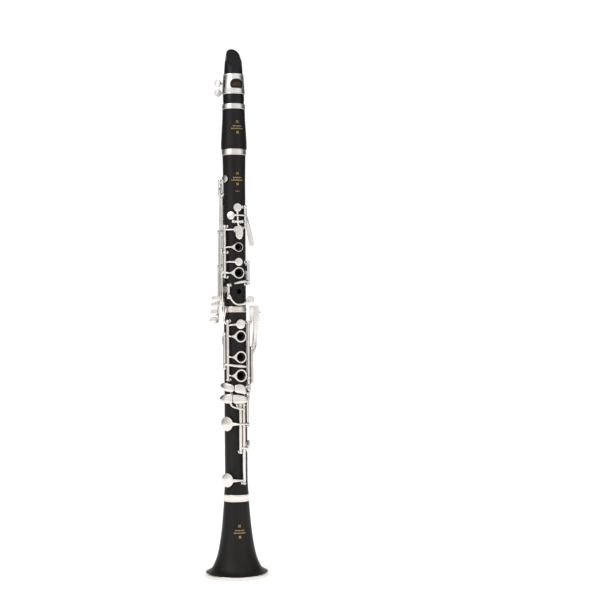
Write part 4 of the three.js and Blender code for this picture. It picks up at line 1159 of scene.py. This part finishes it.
def ring_arm(one, start, bend, widths=(1.2, 1.05, 1.0), depths=(1.1, 0.9, 0.55)):
    """An arm from the hinge to the end of a ring's web. The start is (degrees, radius, up) and
    the bend (degrees, lift, up), both seen from the ring."""
    level = ring_level(one) + RING_PLATE / 2
    places = [
        (start[0], start[1], one["height"] + start[2]),
        (bend[0], level + bend[1], one["height"] + bend[2]),
        beside(one["degrees"], level, one["height"], -(one["outer"] + one["tail"] - 1.2)),
    ]
    return sweep(places, widths, depths)


def key_piece(name, hinge, shells, pad=None, rings=()):
    """A key: its hinge tube with turned ends, its cup and all that is fixed to it, bored for
    the rod. Its pad is a piece of its own."""
    start, end = hinge
    along = (end - start).normalized()
    length = (end - start).length
    tube = [(0, 0), (TUBE - 0.15, 0), (TUBE, 0.15), (TUBE, 0.9), (TUBE - 0.2, 1.0)]
    tube += [(TUBE - 0.2, 1.2), (TUBE, 1.3)]
    tube += [(r, length - z) for r, z in tube[::-1]]
    fixed = [moved(lathe(tube, 28), start, along)]
    if pad:
        fixed.append(cup_shell(PADS[pad]))
    cuts = [ring_cut(ring) for ring in rings]
    cuts.append(bar(TUBE_BORE - 0.1, start - along * 8, end + along * 8))
    piece(name, [*fixed, *shells], cuts, body=name, nodes=(name,))
    if pad:
        pad_piece(pad + "_pad", PADS[pad], name)


SIDE_REACH = 32.4  # how far left of the bore's axis the side touches reach


def side_touch(degrees, height, tall):
    """A side key's touch: a rounded paddle that stands out to the left, crowned to the front."""
    front = polar(degrees, LEVER_RADIUS, 0)
    low, high = -SIDE_REACH, front.x + 1.0
    middle, half = (low + high) / 2, (high - low) / 2
    outline = [(middle + x, z) for x, z in superellipse(half, tall / 2, 2.2, 44)]
    put = lambda x, z, depth: Vector((x, front.y - depth, height + z))
    return pillow(outline, put, -0.8, 0.6, 0.6, 0.9)


def side_key(name, pad, section, lever, touch_height, touch_tall):
    """A long side key: a short arm to its cup, and a lever down the joint to its touch."""
    hinge = between("side_key_axle", section)
    start = hinge[0].z + 2
    bends = [(-142, 0), (-132, 0.2)]
    places = [(-142, UPPER_ROD, start), (-125, LEVER_RADIUS, start - 0.5)]
    places += [(lever - 4, LEVER_RADIUS, start - 2)]
    heights = (start - 7, (start + touch_height) / 2, touch_height)
    places += [(lever, LEVER_RADIUS, height) for height in heights]
    key_piece(name, hinge, [
        pad_arm(PADS[pad], UPPER_ROD, bends, -1, [1.2, 1.1, 1.3], [1.1, 1.0, 0.8]),
        sweep(places, [1.2, 1.2, 1.2, 1.1, 1.1, 1.3], [1.1, 1.0, 0.9, 0.9, 0.9, 0.9], 10),
        side_touch(lever, touch_height, touch_tall),
    ], pad)


def finger_plate(*pairs):
    """A touch for the right little finger, bent round the front of the lower joint."""
    outline = smooth([(x, on_lower(z)) for x, z in pairs])
    return pillow(outline, curved_at(0, TOUCH_OUTER), TOUCH_INNER, TOUCH_OUTER - 0.1, 0.6, 0.25)


key_piece("register_key", between("register_axle"), [
    sweep([cup_edge(PADS["register"], 0, -1), upper_place(180, -0.5, 126), upper_place(180, 0, 119),
           upper_place(180, -0.1, 112), upper_place(180, 0.5, 104)],
          [1.0, 1.2, 1.4, 1.9, 2.2], [0.9, 1.0, 1.1, 1.3, 0.9]),
    pillow(smooth([(0, 7.4), (2.6, 5), (4.1, 0), (3.2, -4.6), (0, -6.2), (-3.2, -4.6), (-4.1, 0),
                   (-2.6, 5)]),
           flat_at(180, on_upper(98)), UPPER_ROD - 0.2, UPPER_ROD + 1.4, 0.5, 0.35),
], "register")

key_piece("throat_a_key", between("throat_a_axle"), [
    sweep([cup_edge(PADS["throat_a"], -0.05, -1), upper_place(-4, -1.2, 115),
           upper_place(-4, -0.5, 110), upper_place(-4, -0.3, 106), upper_place(-3, 1.6, 102),
           upper_place(-2, 2.5, 98.5)],
          [1.4, 1.2, 1.05, 1.1, 1.2, 1.6], [0.9, 1.0, 1.0, 1.1, 1.0, 0.8]),
    pillow(superellipse(5, 8.8, 2.1, 44), flat_at(-1, on_upper(92.4)), UPPER_ROD + 2,
           UPPER_ROD + 2 + PLATE, 0.6, 0.35),
], "throat_a")

key_piece("throat_g_sharp_key", between("throat_g_sharp_axle"), [
    pad_arm(PADS["throat_g_sharp"], UPPER_ROD, [(31, 0), (20, 2.7), (-3, 3.1), (-17, 1.4)], 1,
            [1.3, 1.0, 1.0, 1.1, 1.5], [1.2, 1.0, 1.0, 1.0, 0.8]),
    sweep([upper_place(31, 0.2, 115), upper_place(36, 0.6, 110), upper_place(44, 0.9, 101),
           upper_place(50, 2.4, 90), upper_place(53, 4.4, 78)],
          [1.4, 1.8, 2.6, 3.2, 2.9], [1.2, 1.0, 0.8, 0.8, 0.7], power=2.8, turn=[0, 12, 35, 48, 55]),
], "throat_g_sharp")

key_piece("trill_key_upper", between("trill_axle"), [
    sweep([upper_place(-95, 0, 152.5), upper_place(-84, 0.1, 156),
           cup_edge(PADS["trill_upper"], -1, -0.45)], [1.2, 1.1, 1.3], [1.1, 1.0, 0.8]),
    sweep([upper_place(-95, 0, 149), (-83, LEVER_RADIUS - 0.6, on_upper(147)),
           (-76, LEVER_RADIUS, on_upper(138)), (-76, LEVER_RADIUS, on_upper(70)),
           (-76, LEVER_RADIUS, on_upper(8))],
          [1.2, 1.2, 1.2, 1.1, 1.3], [1.1, 0.9, 0.9, 0.9, 0.9], 12),
    side_touch(-76, on_upper(9.8), 7),
], "trill_upper")

side_key("trill_key_lower", "trill_lower", 2, -85, on_upper(1.6), 7)
side_key("side_e_flat_key", "side_e_flat", 1, -94, under_socket(8), 8)
side_key("side_f_sharp_key", "side_f_sharp", 0, -103, under_socket(17.7), 8)

ring = RINGS["left_index"]
vent_height = PADS["vent"]["height"]
key_piece("left_index_ring_key", between("left_stack_axle", 1), [
    sweep([(-60, UPPER_ROD, vent_height), (-38, UPPER_ROD - 0.9, vent_height),
           (-24, VENT_TOP - 0.3, vent_height), beside(-8, VENT_TOP - 0.75, vent_height, -2.9)],
          [1.1, 0.9, 0.9, 1.1], [1.0, 0.8, 0.75, 0.6]),
    *ring_shells(ring),
    ring_arm(ring, (-60, UPPER_ROD, -0.5), (-46, 1.6, 0), [1.1, 0.9, 0.9], [1.0, 0.75, 0.55]),
], "vent", [ring])

ring = RINGS["thumb"]
key_piece("thumb_ring_key", between("thumb_ring_axle"), [
    *ring_shells(ring),
    ring_arm(ring, (125, UPPER_ROD, 3), (139, 1.6, 1), [1.2, 1.1, 1.0]),
], rings=[ring])

ring = RINGS["left_middle"]
key_piece("left_bridge_key", between("left_stack_axle"), [
    pad_arm(PADS["left"], UPPER_ROD, [(-60, 0), (-36, 1.2)], -1, [1.2, 1.0, 1.5], [1.1, 0.95, 0.8]),
    *ring_shells(ring),
    ring_arm(ring, (-60, UPPER_ROD, 0.8), (-46, 1.5, 0)),
    sweep([upper_place(-60, 0, 45), upper_place(-66, 3.4, 41), upper_place(-66, 3.6, 34),
           upper_place(-66, 2.8, 12), upper_place(-68, 1.8, 3), (-68, UPPER_ROD + 1.4, under_socket(6))],
          [1.2, 1.2, 1.2, 1.3, 1.7, 2.0], [1.1, 1.0, 1.0, 0.95, 0.85, 0.7]),
], "left", [ring])

C_SHARP_ROD = UPPER_ROD - 0.6
touch_middle = polar(46, C_SHARP_ROD + 3.6, on_upper(7.8))
touch = smooth([(-6.2, -2.0), (-4.2, 2.6), (0, 4.9), (4.2, 3.4), (5.2, -0.6), (2.8, -4.2), (-2.4, -4.4)])
put_touch = lambda x, z, depth: touch_middle + across(8) * x + radial(8) * depth + Vector((0, 0, z))
pad_height = PADS["c_sharp_g_sharp"]["height"]
arm = [
    (-44, 0, 16.5), (-36, 3, 13.5), (-28, 2.4, 7.5), (-12, 1.2, 2.6), (12, 1.4, 2.4), (34, 2.8, 5),
]
key_piece("c_sharp_g_sharp_key", between("c_sharp_g_sharp_axle"), [
    sweep([(-44, C_SHARP_ROD, pad_height), (-54, C_SHARP_ROD - 0.8, pad_height),
           (-60, UPPER_RADIUS + 2.1, pad_height)], [1.1, 0.9, 1.1], [1.0, 0.8, 0.6]),
    sweep([(degrees, C_SHARP_ROD + lift, on_upper(distance)) for degrees, lift, distance in arm],
          [1.2, 1.1, 1.1, 1.1, 1.2, 2.2], [1.1, 1.0, 1.0, 1.0, 1.0, 0.8]),
    pillow(touch, put_touch, -PLATE / 2, PLATE / 2, 0.6, 0.3),
], "c_sharp_g_sharp")

key_piece("e_flat_sliver_key", between("e_flat_sliver_axle"), [
    pad_arm(PADS["e_flat_sliver"], UPPER_ROD, [(47, 0), (58, -0.1)], -1, [1.2, 1.1, 1.3],
            [1.1, 1.0, 0.8]),
    sweep([upper_place(47, 0, 33), upper_place(30, 0.6, 31.5), upper_place(5, 0.3, 30.2),
           upper_place(-17, 0, 28.6)], [1.3, 1.5, 1.6, 0.9], [1.2, 1.1, 0.9, 0.7], power=2.6),
], "e_flat_sliver")

rings = [RINGS["right_index"], RINGS["right_middle"], RINGS["right_ring"]]
pad_height = PADS["right"]["height"]
right_shells = [
    sweep([(-48, LOWER_ROD, pad_height - 1.6), (-30, LOWER_ROD + 1.2, pad_height - 0.8),
           cup_edge(PADS["right"], -1)], [1.2, 1.05, 1.6], [1.1, 0.95, 0.8]),
    sweep([socket_place(-48, 0, 23.4), socket_place(-61, 1.4, 19), socket_place(-63, -0.6, 10),
           socket_place(-64, -1.8, 3.6)], [1.2, 1.2, 1.3, 1.9], [1.1, 1.0, 0.9, 0.7]),
]
for ring in rings:
    right_shells += [*ring_shells(ring), ring_arm(ring, (-48, LOWER_ROD, 0.8), (-38, 1.5, 0.3))]
key_piece("right_ring_key", between("right_stack_axle"), right_shells, "right", rings)

key_piece("b_natural_sliver_key", between("b_natural_sliver_axle"), [
    pad_arm(PADS["b_natural_sliver"], LOWER_ROD, [(-64, 0), (-72, 0)], 1, [1.2, 1.1, 1.4],
            [1.1, 1.0, 0.8]),
    sweep([socket_place(-64, 0, 72.6), socket_place(-58, 4, 72.7), socket_place(-42, 5, 73),
           socket_place(-16, 2.2, 74.6), socket_place(4, 1.8, 75.2), socket_place(22, 1.8, 75.9)],
          [1.2, 1.2, 1.3, 1.6, 1.7, 1.1], [1.1, 1.1, 1.1, 1.0, 0.9, 0.8], power=2.6),
], "b_natural_sliver")

key_piece("g_sharp_d_sharp_key", between("right_edge_axle"), [
    sweep([lower_place(44, 0, 138), lower_place(60, 0.6, 133.5), lower_place(70, -0.1, 129.5),
           cup_edge(PADS["g_sharp_d_sharp"], -0.55, 0.8)],
          [1.5, 1.4, 1.4, 1.9], [1.3, 1.2, 1.1, 0.9]),
    finger_plate(
        (-7.6, 137.4), (-3.6, 138.7), (1, 138.5), (5.2, 136.4), (8.0, 132.2), (8.0, 127.0),
        (4, 126.6), (-1, 127.6), (-5.6, 128.7), (-8.0, 130.4), (-8.2, 134.6),
    ),
    sweep([lower_place(44, 0, 138), (32, TOUCH_INNER - 0.2, on_lower(137)),
           (14, TOUCH_INNER + 0.7, on_lower(134))], [1.2, 1.2, 1.6], [1.1, 0.9, 0.6]),
], "g_sharp_d_sharp")

pad_height = PADS["f_c"]["height"]
key_piece("f_c_key", between("f_c_axle"), [
    sweep([(35, LOWER_ROD, pad_height + 0.6), (27, LOWER_ROD + 3.9, pad_height),
           (8, LOWER_ROD + 4.2, pad_height), (-10, LOWER_ROD + 3.8, pad_height),
           cup_edge(PADS["f_c"], 1)], [1.4, 1.2, 1.15, 1.3, 2.4], [1.3, 1.1, 1.1, 1.1, 0.9]),
    finger_plate(
        (-9.6, 125.4), (-4.6, 125.8), (1, 124.9), (6, 123.6), (9.6, 121.6), (9.8, 117.2),
        (5, 114.9), (-1, 114.6), (-6.4, 114.7), (-9.8, 116.0), (-10.2, 120.6),
    ),
    sweep([lower_place(35, 0, 121), (30, TOUCH_INNER - 0.4, on_lower(121)),
           (22, TOUCH_INNER + 0.7, on_lower(121))], [1.3, 1.3, 1.7], [1.1, 0.9, 0.6]),
], "f_c")

key_piece("e_b_key", between("e_b_axle"), [
    pad_arm(PADS["e_b"], LOWER_ROD, [(15, 0), (0, 1.8)], 1, [1.4, 1.2, 2.2], [1.3, 1.1, 0.9]),
    sweep([lower_place(15, 0, 107), lower_place(8, 3.8, 107.5), lower_place(-12, 3.8, 109),
           (-29, TOUCH_INNER + 0.6, on_lower(111.5)), (-37, TOUCH_INNER + 0.7, on_lower(117))],
          [1.2, 1.1, 1.1, 1.1, 1.6], [1.1, 1.0, 1.0, 1.0, 0.6]),
    finger_plate(
        (-33.4, 120.8), (-29.4, 123.6), (-23, 126.0), (-16, 126.6), (-11.6, 126.0), (-11.0, 121),
        (-11.6, 115.8), (-18, 115.0), (-25, 116.0), (-30.6, 118.2),
    ),
], "e_b")

key_piece("f_sharp_c_sharp_key", between("f_sharp_c_sharp_axle"), [
    pad_arm(PADS["f_sharp_c_sharp"], LOWER_ROD, [(1, 0), (8, 3.8), (20, 3.6)], -1,
            [1.4, 1.2, 1.3, 2.2], [1.3, 1.1, 1.1, 0.9]),
    sweep([lower_place(1, 0, 106), lower_place(-9, -0.6, 109.5), lower_place(-14, -1.6, 114),
           lower_place(-26, -1.8, 121), lower_place(-33, -1.4, 126.5),
           (-36, TOUCH_INNER + 0.5, on_lower(131.5))],
          [1.2, 1.1, 1.1, 1.1, 1.1, 1.5], [1.1, 1.0, 1.0, 1.0, 1.0, 0.6]),
    finger_plate(
        (-30.6, 136.8), (-27, 139.8), (-21.6, 140.9), (-15.6, 139.6), (-10.0, 137.8),
        (-9.0, 134.4), (-9.6, 130.4), (-15, 129.6), (-21.6, 130.8), (-27.4, 133.4),
    ),
], "f_sharp_c_sharp")

# The three levers that the left little finger reaches each end in a broad leaf.
key_piece("left_lever_inner", between("right_edge_axle", 1), [
    sweep([lower_place(44, 0, 210.6), lower_place(54, 2.2, 215.6), socket_place(54, 3.2, 12),
           socket_place(51.5, 3.6, 2)],
          [1.4, 1.6, 2.5, 3.0], [1.3, 1.1, 0.8, 0.75], 10, power=2.6, turn=[0, -20, -48, -55]),
])
key_piece("left_lever_middle", between("middle_lever_axle"), [
    sweep([lower_place(66, 2, 175), lower_place(75, 5.8, 182), lower_place(72, 6.6, 198),
           lower_place(69, 7.4, 216), socket_place(67.5, 8, 3)],
          [1.4, 1.7, 2.4, 3.3, 3.9], [1.3, 1.2, 0.9, 0.8, 0.75], 10,
          power=2.6, turn=[0, -30, -60, -68, -68]),
])
key_piece("left_lever_outer", between("outer_lever_axle"), [
    sweep([lower_place(88, 1.5, 172), lower_place(97, 4.5, 177), lower_place(96, 6.5, 187),
           lower_place(90, 9, 206), socket_place(84, 12, 10)],
          [1.4, 1.7, 2.6, 3.7, 3.6], [1.3, 1.2, 1.0, 0.9, 0.75], 10,
          power=2.6, turn=[0, -40, -80, -88, -88]),
])


# ---------------------------------------------------------------- thumb rest
def thumb_rest_piece():
    low, high = low_corner("thumb_rest").z, high_corner("thumb_rest").z
    seat = LOWER_RADIUS + GAP
    middle = (low + high) / 2
    plate = [(x, z + middle) for x, z in superellipse(4.7, (high - low) / 2, 3.2, 44)]
    profile = [(0, -1.6), (8, -1.6), (13.2, -2.2), (14.6, -4.2), (15.4, -4.0), (15.2, -1.4)]
    hook = smooth([*profile, (13.6, 0.6), (8, 1.2), (0, 1.6)], 4)
    put = lambda depth, height, sideways: (
        radial(180) * (seat + 0.6 + depth) + Vector((sideways, 0, low + 5 + height))
    )
    screws, slots = [], []
    for height in (low + 10.5, high - 4):
        start, end = polar(180, seat + 1, height), polar(180, seat + 2.3, height)
        screws.append(bar(1.5, start, end, 24, 0.25))
        slots.append(slot_cut(end, radial(180), 90))
    plate_shell = pillow(plate, curved_at(180, seat), seat - 0.2, seat + 1.8, 0.5)
    shells = [plate_shell, pillow(hook, put, -5.5, 5.5, 0.9), *screws]
    piece("thumb_rest", shells, slots, nodes=("thumb_rest",))


thumb_rest_piece()


# ---------------------------------------------------------------- camera, light and stage
def add_camera():
    data = bpy.data.cameras.new("camera")
    data.sensor_width = 36
    data.lens = data.sensor_width * CAMERA_DISTANCE / PICTURE_WIDTH
    data.clip_start = 0.05
    data.clip_end = 30
    camera = bpy.data.objects.new("camera", data)
    bpy.context.collection.objects.link(camera)
    angle = math.radians(CAMERA_AZIMUTH)
    right = Vector((math.cos(angle), math.sin(angle), 0))
    forward = Vector((-math.sin(angle), math.cos(angle), 0))
    camera.location = (Vector((0, 0, CAMERA_HEIGHT)) - forward * CAMERA_DISTANCE) * MM
    yaw = math.atan(ASIDE / CAMERA_DISTANCE)
    aim = (forward * math.cos(yaw) + right * math.sin(yaw)).to_track_quat("-Z", "Y")
    camera.rotation_mode = "QUATERNION"
    camera.rotation_quaternion = aim @ Matrix.Rotation(math.radians(-LEAN), 3, "Z").to_quaternion()
    bpy.context.scene.camera = camera


def add_light(name, azimuth, elevation, distance, width, tall, power, mirrored=False):
    data = bpy.data.lights.new(name, "AREA")
    data.shape = "RECTANGLE"
    data.size, data.size_y = width, tall
    data.energy = power
    lamp = bpy.data.objects.new(name, data)
    bpy.context.collection.objects.link(lamp)
    a, e = math.radians(azimuth), math.radians(elevation)
    back = Vector((math.sin(a) * math.cos(e), -math.cos(a) * math.cos(e), math.sin(e)))
    lamp.location = Vector((0, 0, 0.33)) + back * distance
    lamp.visible_glossy = mirrored
    lamp.rotation_mode = "QUATERNION"
    lamp.rotation_quaternion = (-back).to_track_quat("-Z", "Y")


FLOOR_RADIUS = 2000


def add_stage():
    paper = surface(
        "paper", (0.84, 0.84, 0.84), (0.90, 0.90, 0.90), (0.85, 0.95), grain=60, bump=0.01, gloss=0
    )
    outline = [(0, 0), (FLOOR_RADIUS, 0), (FLOOR_RADIUS, -10), (0, -10)]
    floor = mesh_object("studio_floor", lathe(outline, 96))
    soften(floor.data, 60)
    floor.data.materials.append(paper)


def add_world():
    """A white studio whose side walls, behind the instrument and out of view, are dark."""
    world = bpy.data.worlds.new("studio")
    world.use_nodes = True
    tree = world.node_tree
    place = tree.nodes.new("ShaderNodeTexCoord")
    facing = tree.nodes.new("ShaderNodeVectorMath")
    facing.operation = "DOT_PRODUCT"
    angle = math.radians(CAMERA_AZIMUTH)
    facing.inputs[1].default_value = (-math.sin(angle), math.cos(angle), 0)
    ramp = tree.nodes.new("ShaderNodeValToRGB")
    spread = node_of(tree, "ShaderNodeMapRange", From_Min=-1, From_Max=1)
    stops = [(0.0, 0.76), (0.25, 0.92), (0.45, 0.45), (0.58, 0.08), (0.87, 0.08), (0.95, 1.0)]
    for _ in stops[2:]:
        ramp.color_ramp.elements.new(0.5)
    for element, (position, level) in zip(ramp.color_ramp.elements, stops):
        element.position = position
        element.color = (level, level, level, 1)
    tree.links.new(place.outputs["Generated"], facing.inputs[0])
    tree.links.new(facing.outputs["Value"], spread.inputs["Value"])
    tree.links.new(spread.outputs["Result"], ramp.inputs["Fac"])
    tree.links.new(ramp.outputs["Color"], tree.nodes["Background"].inputs["Color"])
    tree.nodes["Background"].inputs["Strength"].default_value = 1.05
    bpy.context.scene.world = world
    bpy.context.scene.view_settings.view_transform = "Standard"


add_camera()
add_stage()
add_world()
add_light("key_light", -60, 30, 2.8, 1.6, 2.4, 16, True)
add_light("fill_light", 40, 15, 2.8, 0.8, 2.4, 9)
add_light("top_light", 0, 88, 6.0, 8.0, 8.0, 470)
